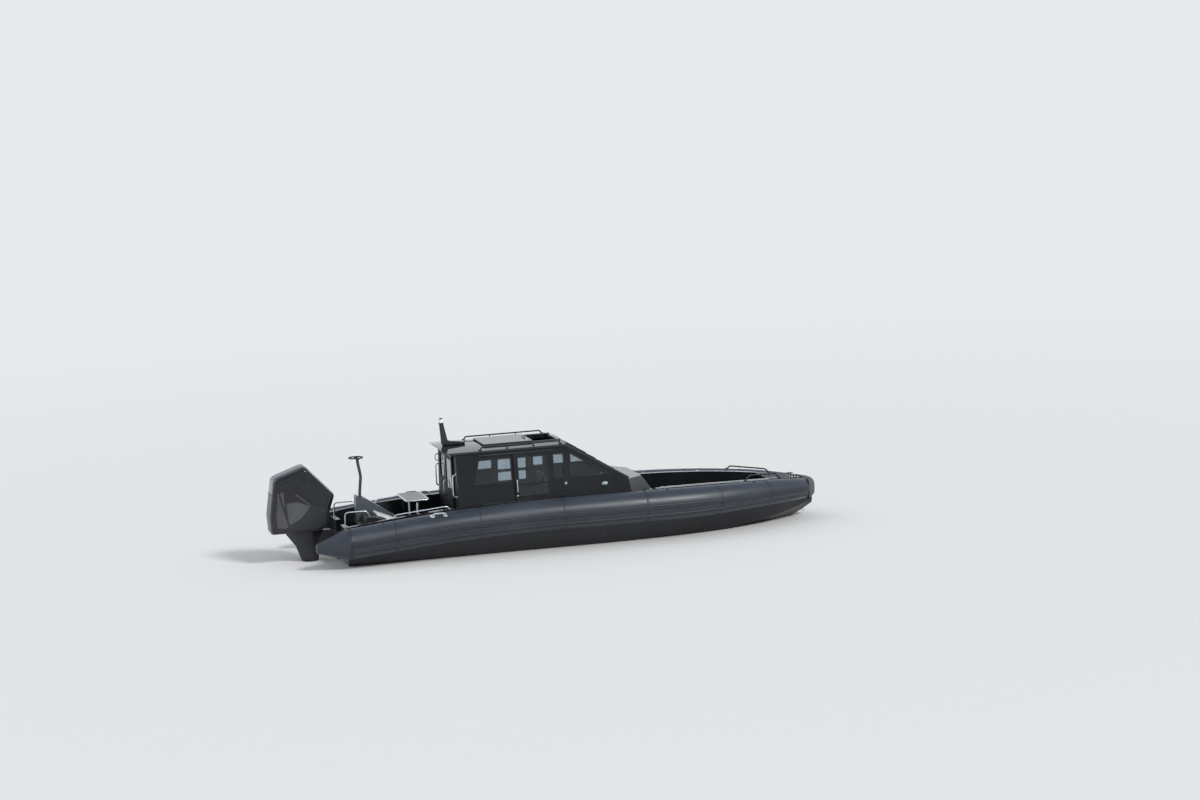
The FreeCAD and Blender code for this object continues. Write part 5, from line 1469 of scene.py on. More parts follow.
    def wipers(self, paint: Palette) -> None:
        """Two wipers that hang from the head of the windscreen, with their motors' caps.

        Args:
            paint: The finishes.
        """
        top, low = np.array(self.screen_top), np.array(self.screen_low)
        down = unit(low - top)
        out = np.array([-down[2], 0.0, down[0]])
        parts = []
        swing = self.wiper_swing
        for y in self.wiper_places:
            pivot = top + down * 0.045 + out * 0.052 + np.array([0, y, 0])
            tip = pivot + down * self.wiper_reach + np.array([0, swing, 0]) + out * 0.004
            arm = rounded([pivot, pivot + down * 0.10 + out * 0.012, tip + out * 0.010], 0.04)
            parts.append(carried(arm, circle(0.008, 12) * np.array([1.2, 0.7]), UP))
            blade_run = unit(down + np.array([0, -0.22 * np.sign(swing), 0]))
            ends = [tip + blade_run * self.wiper_half * share for share in (-1, 0, 1)]
            parts.append(carried(np.array(ends) - out * 0.006, circle(0.008, 10) * np.array([0.8, 1.3]), out))
            motor = [(-0.016, 0.026), (0.008, 0.026), (0.016, 0.018), (0.018, 0.006)]
            parts.append(spun(motor, pivot - out * 0.008, out, 24))
        piece("wipers", Surface.joined(parts), paint.rail)

    def rails(self, paint: Palette) -> None:
        """The low rails on the roof, with their feet.

        Args:
            paint: The finishes.
        """
        y, foot = -self.rail_half, [(0.0, 0.032), (0.006, 0.032), (0.012, 0.018), (0.02, 0.014)]
        line = [(-1.76, y, 1.900), (-1.72, y, 1.985), (-0.24, y, 1.985), (-0.20, y, 1.900)]
        bars = [bar(line, 0.035, 0.014)]
        bars += [spun(foot, (x, y, 1.925), UP, 24) for x in (-1.765, -0.195, -1.235, -0.725)]
        for x in (-1.235, -0.725):
            post = np.array([(x, y, 1.92), (x, y, 1.95), (x, y, 1.985)])
            bars.append(carried(post, circle(0.010, 14), AHEAD))
        piece(
            "roof_rail_bars", Surface.joined(bars).both(), paint.rail,
            replaces=("roof_rails",),
        )

    def trims(self, paint: Palette) -> None:
        """Seam strips on the sides, the drip edge of the roof and the hatch's seal.

        Args:
            paint: The finishes.
        """
        strips = []
        low = self.on_side([(-0.36, 1.085), (0.2, 1.085), (0.72, 1.085)], 0.001)
        strips.append(carried(np.array(low), circle(0.005, 8), UP))
        tick = self.on_side([(-0.22, 0.93), (-0.22, 1.0), (-0.22, 1.085)], 0.001)
        strips.append(carried(np.array(tick), circle(0.005, 8), AHEAD))
        edge = np.array([(-2.33, -0.866, 1.892), (-1.2, -0.866, 1.892), (-0.15, -0.866, 1.892)])
        strips.append(carried(edge, circle(0.008, 10), UP))
        piece("cabin_trims", Surface.joined(strips).both(), paint.seal)
        rim = [(x, y, 1.958) for x, y in ((-0.72, -0.43), (-0.19, -0.43), (-0.19, 0.43), (-0.72, 0.43))]
        coaming = carried(loop_line(rim, 0.03, 6), circle(0.010, 12), UP, closed=True)
        piece("hatch_coaming", coaming, paint.seal)

    def build(self, paint: Palette) -> None:
        """Makes the cabin's pieces.

        Args:
            paint: The finishes.
        """
        self.panels(paint)
        self.seals(paint)
        self.door_furniture(paint)
        self.grab_handles(paint)
        self.lamps(paint)
        self.wipers(paint)
        self.rails(paint)
        self.trims(paint)


@dataclass
class Helm:
    """The helm console with its screens, throttle and steering wheel."""

    centre: Point = (0.455, -0.47, 0.965)
    panel: Point = (0.60, -0.47, 0.955)
    tilt: float = 28.0
    rim_radius: float = 0.175
    # Reach of each screen case across the console, and the border round its glass
    screens: tuple[tuple[float, float], ...] = ((0.10, 0.29), (-0.29, -0.10))
    border: float = 0.012
    throttle_y: float = -0.22

    def matrix(self, place: Point) -> Matrix:
        """The console's slope at a place, its upright along local Z."""
        return Matrix.Translation(place) @ Matrix.Rotation(math.radians(self.tilt - 90), 4, "Y")

    def wheel(self) -> Surface:
        """Rim, three flat spokes and a boss round local Z, then carried to the wheel's place.

        Returns:
            The closed skin.
        """
        turn = np.linspace(0, 2 * np.pi, 96, endpoint=False)
        path = np.stack([np.cos(turn), np.sin(turn), 0 * turn], axis=1) * self.rim_radius
        swell = 1 + 0.05 * np.cos(turn * 16)[:, None, None]
        ring = circle(0.0158, 20)[None] * swell
        parts = [carried(path, ring, UP, closed=True)]
        for angle in (90, 210, 330):
            run = np.radians(angle)
            direction = np.array([math.cos(run), math.sin(run), 0.0])
            line = np.linspace(0.02, self.rim_radius - 0.004, 12)[:, None] * direction
            line[:, 2] = -0.010 * np.linspace(1, 0, 12)
            width = np.linspace(0.022, 0.012, 12)[:, None, None]
            parts.append(carried(line, circle(1.0, 14)[None] * width * np.array([1.0, 0.38]), UP))
        boss = [(-0.020, 0.040), (0.004, 0.046), (0.016, 0.040), (0.022, 0.026), (0.024, 0.008)]
        shaft = [(-0.150, 0.016), (-0.04, 0.016), (-0.02, 0.028), (0.0, 0.03)]
        parts += [spun(boss, (0, 0, 0), UP, 40), spun(shaft, (0, 0, 0), UP, 28)]
        return Surface.joined(parts).turned(self.matrix(self.centre))

    def build(self, paint: Palette) -> None:
        """Makes the helm's pieces.

        Args:
            paint: The finishes.
        """
        softened("helm_console", paint.moulding, 0.018, segments=4)
        piece("wheel_and_boss", self.wheel(), paint.seal, Body.WHEEL, ("steering_wheel",))
        slope = self.matrix(self.panel)
        screens = [soft_box((-0.02, low, -0.004), (0.11, high, 0.012), 0.008) for low, high in self.screens]
        piece("screen_cases", Surface.joined(screens).turned(slope), paint.moulding)
        glass = [
            soft_box((-0.008, low + self.border, 0.009), (0.098, high - self.border, 0.014), 0.003)
            for low, high in self.screens
        ]
        piece("screen_glass", Surface.joined(glass).turned(slope), paint.screen)
        y = self.throttle_y
        base = soft_box((0.66, y - 0.04, 1.045), (0.80, y + 0.04, 1.075), 0.012)
        lever = bar([(0.73, y, 1.06), (0.72, y, 1.16), (0.70, y, 1.20)], 0.03, 0.009, sides=14)
        knob = spun(
            [(-0.03, 0.008), (-0.02, 0.018), (0.0, 0.022), (0.02, 0.018), (0.028, 0.006)],
            (0.70, y, 1.205), PORT, 24,
        )
        piece("throttle", Surface.joined([base, lever, knob]), paint.alloy)


@dataclass
class Upholstery:
    """Seats on their pedestals and bench pads, each a blown-up padded form with sewn channels."""

    voxel: float = 0.006
    seats: tuple[tuple[float, int], ...] = ((-0.09, -1), (-0.09, 1), (-1.56, -1), (-1.56, 1))
    seat_y: float = 0.47
    seat_z: float = 0.52
    edge: float = 0.022
    pressure: float = 4.0
    frames: int = 20
    fill: float = 0.7
    channel: float = 0.009
    near: float = 0.03

    def pillow(self, corners: Array, cap: float, name: str) -> Surface:
        """A padded form blown up from a block.

        The block is remeshed into even small faces, filled with pressure as cloth without
        weight, and no point may move further than the cap.

        Args:
            corners: The block's eight corners, the lower four and then the upper four.
            cap: The furthest that a point may move.
            name: Name of the working mesh.

        Returns:
            The padded skin.
        """
        faces = [(0, 3, 2, 1), (4, 5, 6, 7), (0, 1, 5, 4), (1, 2, 6, 5), (2, 3, 7, 6), (3, 0, 4, 7)]
        mesh = bpy.data.meshes.new(name)
        mesh.from_pydata(corners.tolist(), [], faces)
        obj = bpy.data.objects.new(name, mesh)
        bpy.context.scene.collection.objects.link(obj)
        bevel = obj.modifiers.new("edge", "BEVEL")
        bevel.width, bevel.segments = self.edge, 4
        remesh = obj.modifiers.new("even", "REMESH")
        remesh.mode, remesh.voxel_size = "VOXEL", self.voxel * 1.0
        even = self.applied(obj)
        start = self.places(even)
        obj.modifiers.clear()
        obj.data = even
        cloth = obj.modifiers.new("fill", "CLOTH")
        cloth.settings.use_pressure = True
        cloth.settings.uniform_pressure_force = self.pressure
        cloth.settings.effector_weights.gravity = 0.0
        cloth.settings.quality = 4
        for number in range(1, self.frames + 1):
            bpy.context.scene.frame_set(number)
        ended = self.places(self.applied(obj))
        bpy.context.scene.frame_set(1)
        shift = ended - start
        size = np.linalg.norm(shift, axis=1, keepdims=True)
        start = start + shift * np.minimum(1.0, cap / np.maximum(size, 1e-9))
        quads = np.array([list(face.vertices) for face in even.polygons if len(face.vertices) == 4], int)
        bpy.data.objects.remove(obj)
        return Surface(start, quads)

    def applied(self, obj: Object) -> bpy.types.Mesh:
        """The object's mesh with its modifiers worked out."""
        graph = bpy.context.evaluated_depsgraph_get()
        graph.update()
        return bpy.data.meshes.new_from_object(obj.evaluated_get(graph))

    def places(self, mesh: bpy.types.Mesh) -> Array:
        """A mesh's corners, one in each row."""
        flat = np.empty(len(mesh.vertices) * 3)
        mesh.vertices.foreach_get("co", flat)
        return flat.reshape(-1, 3)

    def block(self, low: Point, high: Point, shrink: float) -> Array:
        """A block's eight corners, drawn in by a distance."""
        x0, y0, z0 = (value + shrink for value in low)
        x1, y1, z1 = (value - shrink for value in high)
        return np.array([
            (x0, y0, z0), (x1, y0, z0), (x1, y1, z0), (x0, y1, z0),
            (x0, y0, z1), (x1, y0, z1), (x1, y1, z1), (x0, y1, z1),
        ])

    def sewn(self, surface: Surface, axis: int, places: Sequence[float], depth: float, face: int) -> Surface:
        """Sewn channels: one side sinks along lines across the pad, each in a narrow smooth dip."""
        verts = surface.verts.copy()
        high = verts[:, face].max()
        near = np.clip((verts[:, face] - (high - self.near)) / self.near, 0, 1)
        gap = np.min(np.abs(verts[:, axis][:, None] - np.array(places)[None]), axis=1)
        verts[:, face] -= depth * near * np.exp(-(gap / self.channel) ** 2)
        return Surface(verts, surface.quads, surface.tris)

    def build(self, paint: Palette) -> None:
        """Makes the seats and pads.

        Args:
            paint: The finishes.
        """
        softened("seat_pedestals", paint.moulding, 0.016)
        base = self.pillow(self.block((-0.23, -0.23, 0.0), (0.23, 0.23, 0.12), 0.010), 0.012, "cushion_blank")
        base = self.sewn(base, 1, (-0.075, 0.075), 0.007, 2)
        back = self.pillow(np.array([
            (-0.222, -0.218, 0.01), (-0.132, -0.218, 0.01), (-0.132, 0.218, 0.01), (-0.222, 0.218, 0.01),
            (-0.292, -0.205, 0.60), (-0.222, -0.205, 0.60), (-0.222, 0.205, 0.60), (-0.292, 0.205, 0.60),
        ]), 0.012, "back_blank")
        back = self.sewn(back, 2, (0.16, 0.31, 0.46), 0.006, 0)
        for number, (x, side) in enumerate(self.seats):
            place = (x, side * self.seat_y, self.seat_z)
            name = "seat_cushion_%d" % (number + 1)
            nodes = ("seat_cushions",) if number == 0 else ()
            cushion = piece(name, base.moved(place), paint.seat, replaces=nodes)
            name = "seat_back_%d" % (number + 1)
            nodes = ("seat_backs",) if number == 0 else ()
            shifted = back.moved((place[0], place[1], place[2] + 0.12))
            rest = piece(name, shifted, paint.seat, replaces=nodes)
        low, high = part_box("bench_pads")
        slope = (0.575 - 0.83) / 0.59
        x0, x1 = low.x + 0.012, high.x - 0.012
        z0 = high.z - 0.060
        z1 = z0 + slope * (x1 - x0)
        y0, y1 = 0.127, high.y - 0.010
        pad = self.pillow(np.array([
            (x0, -y1, z0 + 0.008), (x1, -y1, z1 + 0.008), (x1, -y0, z1 + 0.008), (x0, -y0, z0 + 0.008),
            (x0, -y1, z0 + 0.052), (x1, -y1, z1 + 0.052), (x1, -y0, z1 + 0.052), (x0, -y0, z0 + 0.052),
        ]), 0.010, "pad_blank")
        pad = self.sewn(pad, 1, (-0.25, -0.38, -0.50), 0.005, 2)
        bench = piece("bench_pad_starboard", pad, paint.pad, replaces=("bench_pads",))
        piece("bench_pad_port", pad.mirrored(), paint.pad)


@dataclass
class DeckGear:
    """Table, tow post, rails, cleats, steps and towing eyes."""

    hoop_half: float = 0.64
    cleat_x: float = 4.58
    cleat_y: float = 0.17

    def sheer(self, x: float) -> tuple[float, float]:
        """Half-width and height of the sheer at a place."""
        row = fair(HULL_ROWS, np.array([x]))[0]
        return row[4] * HULL_HALF, row[5]

    def low_rail(self, aft: float, front: float, rise: float, inset: float, lean: float) -> Surface:
        """A rail on the starboard gunwale with slanted ends, its feet in round flanges."""
        (ay, az), (fy, fz) = self.sheer(aft), self.sheer(front)
        ay, fy = inset - ay, inset - fy
        rail = bar([
            (aft, ay, az - 0.01), (aft + lean, ay, az + rise),
            (front - lean, fy, fz + rise), (front, fy, fz - 0.01),
        ], 0.045, 0.014)
        return Surface.joined([rail, self.flange((aft, ay, az)), self.flange((front, fy, fz))])

    def flange(self, place: Point) -> Surface:
        """The round flange at a rail's foot."""
        return spun([(-0.004, 0.030), (0.006, 0.030), (0.010, 0.022), (0.014, 0.015)], place, UP, 26)

    def build(self, paint: Palette) -> None:
        """Makes the deck gear.

        Args:
            paint: The finishes.
        """
        softened("table_board", paint.board, 0.004)
        self.table(paint)
        softened("aft_bench", paint.moulding, 0.016)
        softened("tow_post_fairing", paint.fairing, 0.022, segments=5)
        softened("cabin_steps", paint.moulding, 0.012)
        self.post(paint)
        piece("bow_rail_bars", self.low_rail(3.42, 4.23, 0.095, 0.065, 0.09).both(), paint.rail,
              replaces=("bow_rails",))
        self.stern(paint)
        self.cleats(paint)
        softened("towing_eyes", paint.alloy, 0.002)

    def table(self, paint: Palette) -> None:
        """The table's rounded rim on two flanged legs.

        Args:
            paint: The finishes.
        """
        edge = [(-3.155, -0.478), (-2.725, -0.478), (-2.725, 0.478), (-3.155, 0.478)]
        path = loop_line([(x, y, 1.035) for x, y in edge], 0.06, 8)
        parts = [carried(path, circle(1.0, 20) * np.array([0.020, 0.015]), UP, closed=True)]
        for y in (-0.43, 0.43):
            parts.append(spun([
                (0.0, 0.062), (0.008, 0.062), (0.014, 0.050), (0.02, 0.030), (0.034, 0.026), (0.30, 0.026),
                (0.31, 0.031), (0.36, 0.031), (0.37, 0.026), (0.84, 0.026), (0.855, 0.045), (0.872, 0.06),
            ], (-2.94, y, 0.15), UP, 36))
        piece(
            "table_rim_and_legs", Surface.joined(parts), paint.alloy,
            replaces=("table_frame",),
        )

    def post(self, paint: Palette) -> None:
        """The bent tow post, and the oval tow ring on its plate.

        Args:
            paint: The finishes.
        """
        line = [(-3.96, 0, 1.05), (-3.95, 0, 1.23), (-3.915, 0, 1.51), (-3.96, 0, 1.792), (-3.96, 0, 1.852)]
        pole = bar(line, 0.05, 0.028, sides=28, steps=10)
        collar = spun([(0.0, 0.05), (0.01, 0.052), (0.03, 0.046), (0.04, 0.031)], (-3.956, 0, 1.10), UP, 32)
        piece(
            "tow_pole", Surface.joined([pole, collar]), paint.pole,
            replaces=("tow_post",),
        )
        turn = np.linspace(0, 2 * np.pi, 96, endpoint=False)
        ring = np.stack([np.cos(turn) * 0.133 - 3.99, np.sin(turn) * 0.133, 0 * turn + 1.875], axis=1)
        loop = carried(ring, circle(0.013, 20), UP, closed=True)
        plate = soft_box((-4.003, -0.127, 1.852), (-3.934, 0.127, 1.864), 0.005)
        head = [(0, 0.010), (0.005, 0.010), (0.008, 0.006)]
        bolts = [spun(head, (-3.965, y, 1.863), UP, 12) for y in (-0.07, 0.07)]
        piece(
            "tow_loop", Surface.joined([loop, plate, *bolts]), paint.rail,
            replaces=("tow_ring",),
        )

    def stern(self, paint: Palette) -> None:
        """The low rails by the cockpit and the stern hoops."""
        y = -self.hoop_half
        line = [(-4.36, y, 0.665), (-4.36, y, 0.95), (-3.94, y, 0.95), (-3.90, y, 0.825)]
        hoop = bar(line, 0.075, 0.014, steps=10)
        parts = [self.low_rail(-3.52, -2.43, 0.060, 0.040, 0.06), hoop, self.flange((-4.36, y, 0.68))]
        piece(
            "stern_rail_bars", Surface.joined(parts).both(), paint.alloy,
            replaces=("stern_rails",),
        )

    def cleats(self, paint: Palette) -> None:
        """The T cleats on the foredeck.

        Args:
            paint: The finishes.
        """
        middle, y, deck = self.cleat_x, self.cleat_y, self.sheer(self.cleat_x)[1]
        t = np.linspace(-1, 1, 17)
        path = np.stack([middle + 0.075 * t, 0 * t - y, deck + 0.042 + 0.006 * t ** 2], axis=1)
        girth = (1 - 0.35 * np.abs(t) ** 3)[:, None, None]
        parts = [carried(path, circle(0.0095, 16)[None] * girth, UP)]
        leg = [(0.0, 0.020), (0.004, 0.020), (0.010, 0.010), (0.042, 0.009)]
        parts += [spun(leg, (middle + shift, -y, deck - 0.001), UP, 22) for shift in (-0.026, 0.026)]
        piece(
            "cleat_bars", Surface.joined(parts).both(), paint.rail,
            replaces=("bow_cleats",),
        )


@dataclass
class Outboard:
    """The outboard engine: covers, midsection, leg and two propellers."""

    leg_x: float = -4.96
    low_z: float = 0.58
    half: float = 0.335
    middle: tuple[float, float] = (-0.140, 0.570)
    shaft_z: float = -0.625
    hub: float = 0.066
    blade_tip: float = 0.198
    pitch: float = 0.56
    # Pitch direction, blades, share of the radius and place of each propeller
    propellers: tuple[tuple[int, int, float, float], ...] = ((1, 4, 1.0, -5.365), (-1, 3, 0.94, -5.489))
    torpedo_x: float = -4.60
    torpedo_run: float = 0.70
    torpedo_radius: float = 0.072
    seam: tuple[tuple[float, float], ...] = ((-0.69, 0.75), (-0.29, 0.71), (0.09, 0.51), (0.40, 0.405))
    lower: tuple[tuple[float, float], ...] = ((0.32, 0.06), (0.16, 0.0), (-0.74, 0.0), (-0.758, 0.32))
    upper: tuple[tuple[float, float], ...] = (
        (0.498, 0.668), (-0.015, 1.226), (-0.08, 1.238), (-0.58, 1.065), (-0.648, 1.02),
    )

    @property
    def centre(self) -> Array:
        """The middle about which the covers narrow towards their sides."""
        return np.array([self.middle[0], 0.0, self.middle[1]])

    @property
    def foot(self) -> Point:
        """Where the covers stand: on the leg's line, at their foot."""
        return self.leg_x, 0, self.low_z

    def upright(self, pairs: Profile) -> Array:
        """Pairs of x and z as places in the boat's middle plane."""
        return np.array([(x, 0.0, z) for x, z in pairs], float)

    def profile(self, rest: Profile, bend: float = 0.05) -> Array:
        """A cover's closed side profile, its own corners rounded and its seam left crisp."""
        gentle = rounded(self.upright((self.seam[-1], *rest, self.seam[0])), bend, 10)
        edge = self.upright(self.seam)
        t = np.linspace(0, 1, 14)[:, None]
        runs = [a + (b - a) * t for a, b in zip(edge[:-1], edge[1:])]
        return np.concatenate([np.concatenate(runs), self.spread(gentle)[1:-1]])

    def spread(self, line: Array, gap: float = 0.03) -> Array:
        """The same line with points at most a gap apart."""
        run = np.concatenate([[0], np.cumsum(np.linalg.norm(np.diff(line, axis=0), axis=1))])
        places = np.unique(np.concatenate([run, np.linspace(0, run[-1], int(run[-1] / gap))]))
        return np.stack([np.interp(places, run, line[:, k]) for k in range(3)], axis=1)

    def crown(self, share: Array) -> Array:
        """Scale of the profile across the engine, full in the middle and drawn in at the sides."""
        return 0.83 + 0.17 * np.sqrt(np.maximum(1 - np.abs(share) ** 6, 0.0))

    def cover(self, profile: Array) -> Surface:
        """A cover: the profile scaled about the engine's middle by the crown, from side to side.

        Args:
            profile: The closed side profile.

        Returns:
            The closed skin with gently domed sides.
        """
        share = np.sin(np.linspace(-np.pi / 2, np.pi / 2, 61))
        scale = self.crown(share)
        y = share * self.half
        inner = np.linspace(0.25, 1, 9)[:-1]
        ends = scale[0] * inner
        scale = np.concatenate([ends, scale, ends[::-1]])
        dome = self.half + 0.006 * (1 - inner ** 2)
        y = np.concatenate([-dome, y, dome[::-1]])
        centre = self.centre
        points = centre + (profile[None] - centre) * scale[:, None, None]
        points[..., 1] = y[:, None]
        return Surface.tube(points).moved(self.foot)

    def cap_band(self) -> Surface:
        """The glossy band over the top, from the rear edge up to the peak and down the front.

        Returns:
            The closed skin.
        """
        line = self.upright((self.seam[-1], *self.upper, self.seam[0]))
        line = self.spread(rounded(line, 0.05, 10)[7:-7], 0.02)[::-1]
        share = np.linspace(-0.60, 0.60, 31)
        scale = self.crown(share)
        edge = (1 - np.abs(np.linspace(-1, 1, 31)) ** 8)
        run = np.linspace(-1, 1, len(line))
        rise = 0.006 * edge[:, None] * (1 - np.abs(run) ** 20)[None] + 0.0008
        centre = self.centre
        offset = unit(line - centre)[None]
        base = centre + (line[None] - centre) * scale[:, None, None]
        outer = base + offset * rise[..., None]
        inner = base - offset * 0.006
        for grid in (outer, inner):
            grid[..., 1] = (share * self.half)[:, None]
        return walled(outer, inner).moved(self.foot)

    def side_panel(self, corners: Profile, proud: float, bend: float = 0.018) -> Surface:
        """A raised facet on both sides of the covers.

        The outline, its corners rounded, shrinks to its middle in rings; the outermost
        rings fall away to the cover in a small chamfer.

        Args:
            corners: Pairs of x and z about the leg and the covers' foot.
            proud: Height over the cover's flat side.
            bend: Rounding of the corners.

        Returns:
            The closed skin on both sides.
        """
        line = rounded(self.upright((corners[-1], *corners, corners[0])), bend, 6)[6:-1]
        middle = line.mean(axis=0)
        scales = np.concatenate([np.linspace(0.02, 0.94, 10), [0.955, 0.985, 1.0, 1.0]])
        depth = np.concatenate([np.full(10, proud), [proud, proud - 0.004, proud - 0.008, -0.02]])
        points = middle + (line[None] - middle) * scales[:, None, None]
        points[..., 1] = (-self.half - depth)[:, None]
        return Surface.tube(points).moved(self.foot).both()

    def side_panels(self, paint: Palette) -> None:
        """The facets that break up the covers' sides, and the bright strip along the front edge.

        Args:
            paint: The finishes.
        """
        gloss = [
            self.side_panel([(-0.545, 0.86), (-0.54, 0.93), (-0.495, 0.96), (-0.11, 1.10), (-0.075, 1.05),
                             (-0.255, 0.845), (-0.46, 0.825)], 0.012),
            self.side_panel(
                [(-0.052, 1.035), (0.352, 0.655), (0.286, 0.475), (0.055, 0.535), (-0.235, 0.80)], 0.016
            ),
        ]
        piece(
            "gloss_facets", Surface.joined(gloss), paint.engine_gloss, Body.OUTBOARD,
            angle=22,
        )
        grey = [
            self.side_panel(
                [(-0.47, 0.585), (-0.25, 0.600), (0.020, 0.505), (-0.175, 0.285), (-0.405, 0.165)],
                0.013
            ),
            self.side_panel([
                (-0.615, 0.775), (-0.575, 0.770), (-0.425, 0.150), (-0.46, 0.115), (-0.635, 0.135),
                (-0.645, 0.36),
            ], 0.012),
            self.side_panel([(-0.562, 0.80), (-0.478, 0.80), (-0.472, 0.60), (-0.484, 0.47)], 0.010, 0.008),
            self.side_panel([(-0.255, 0.765), (0.035, 0.520), (0.005, 0.520), (-0.262, 0.735)], 0.009, 0.004),
        ]
        piece(
            "grey_facets", Surface.joined(grey), paint.engine_panel, Body.OUTBOARD,
            angle=22,
        )
        recess = self.side_panel(
            [(-0.465, 0.80), (-0.275, 0.80), (-0.262, 0.625), (-0.46, 0.61)], 0.0085, 0.01,
        )
        piece("vent_panels", recess, paint.seal, Body.OUTBOARD, angle=22)
        corners = self.upright(self.upper[1::-1])
        run = np.linspace(0.10, 0.90, 12)[:, None]
        share = 0.80
        centre = self.centre
        line = corners[0] + (corners[1] - corners[0]) * run
        edge = centre + (line - centre) * (self.crown(np.array(share)) + 0.002)
        edge[:, 1] = -share * self.half
        strip = carried(edge + np.array(self.foot), circle(0.007, 10), PORT)
        piece("edge_strips", strip.both(), paint.alloy, Body.OUTBOARD)

    def seam_strip(self) -> Surface:
        """A dark rubber strip along the seam between the covers, on both sides and across the ends.

        Returns:
            The closed skin.
        """
        share = np.sin(np.linspace(-np.pi / 2, np.pi / 2, 41))
        scale = self.crown(share)
        centre = self.centre
        edge = self.spread(self.upright(self.seam), 0.04)
        low = centre + (edge - centre) * scale[0]
        low[:, 1] = -self.half
        front = centre + (edge[-1] - centre) * scale[:, None]
        front[:, 1] = share * self.half
        high = low[::-1] * np.array([1.0, -1.0, 1.0])
        back = centre + (edge[0] - centre) * scale[::-1, None]
        back[:, 1] = share[::-1] * self.half
        path = np.concatenate([low, front[1:], high[1:], back[1:-1]])
        strip = carried(path, circle(0.006, 10), UP, closed=True)
        return strip.moved(self.foot)

    def block(self, rows: Array, outline: Array, steps: int = 24) -> Surface:
        """A block from a table of heights.

        The level outline is stretched between the front and rear places, and its
        half-width is read on a smooth curve through the table.

        Args:
            rows: Height, front, rear and half-width, from the lowest.
            outline: Shares of the length and of the half-width from the front.
            steps: Rings up the block.

        Returns:
            The closed skin.
        """
        z = np.linspace(rows[0, 0], rows[-1, 0], steps)
        front, rear, half = fair(rows, z).T
        along = np.concatenate([outline[:, 0], outline[::-1, 0]])
        out = np.concatenate([-outline[:, 1], outline[::-1, 1]])
        x = self.leg_x + front[:, None] + (rear - front)[:, None] * along
        y = half[:, None] * out
        return Surface.tube(np.stack([x, y, np.broadcast_to(z[:, None], x.shape)], axis=-1))

    def foil(self, blunt: float = 0.0) -> Array:
        """A foil outline: a half-width that rises round and falls away to the tail.

        Args:
            blunt: Thickness that is left at the tail.

        Returns:
            Shares of the length and of the half-width.
        """
        t = (1 - np.cos(np.linspace(0, np.pi, 25))) / 2
        shape = np.sqrt(np.minimum(t / 0.24, 1.0) * (2 - np.minimum(t / 0.24, 1.0)))
        tail = np.clip((t - 0.55) / 0.45, 0, 1)
        out = shape * (1 - (1 - blunt) * tail ** 2) + blunt * (t < 1e-9) * 0.5
        return np.stack([t, out], axis=1)

    def blade(self, hand: int, length: float, turn: float, x: float) -> Surface:
        """A propeller blade.

        Thin cambered sections stacked outward, each turned by its pitch angle, wider in
        the middle and swept back to a rounded tip.

        Args:
            hand: Direction of the pitch.
            length: Share of the full radius.
            turn: Angle about the shaft in degrees.
            x: Place of the hub's middle.

        Returns:
            The closed skin.
        """
        hub, tip = self.hub, self.blade_tip * length
        table = np.array([
            (-0.06, 0.100, 0.017, 0.0), (0.16, 0.150, 0.013, 0.003), (0.42, 0.176, 0.010, 0.010),
            (0.68, 0.168, 0.007, 0.020), (0.88, 0.128, 0.005, 0.032), (1.0, 0.062, 0.003, 0.044),
        ])
        share = np.linspace(-0.06, 0.998, 26)
        chord, thick, skew = fair(table, share).T
        radius = hub + (tip - hub) * share
        angle = np.arctan2(self.pitch, 2 * np.pi * radius)[:, None]
        a = np.linspace(0, 2 * np.pi, 32, endpoint=False)
        along = 0.5 * np.cos(a)[None] * chord[:, None]
        lift = (0.3 * np.sin(a) + 0.2 * (1 - np.cos(a) ** 2))[None] * thick[:, None]
        px = along * np.sin(angle) + lift * np.cos(angle)
        py = hand * (along * np.cos(angle) - lift * np.sin(angle) + skew[:, None])
        points = np.stack([px, py, np.broadcast_to(radius[:, None], px.shape)], axis=-1)
        place = Matrix.Translation((x, 0, self.shaft_z)) @ Matrix.Rotation(math.radians(turn), 4, "X")
        return Surface.tube(points).turned(place)

    def propeller(self, hand: int, blades: int, length: float, x: float) -> Surface:
        """Hub and blades of one propeller."""
        hub = spun([
            (-0.059, 0.026), (-0.059, 0.058), (-0.056, 0.062), (-0.040, self.hub), (0.052, self.hub),
            (0.058, 0.062), (0.059, 0.026),
        ], (x, 0, self.shaft_z), AHEAD, 48)
        turns = [360.0 * number / blades for number in range(blades)]
        return Surface.joined([hub, *[self.blade(hand, length, turn, x) for turn in turns]])

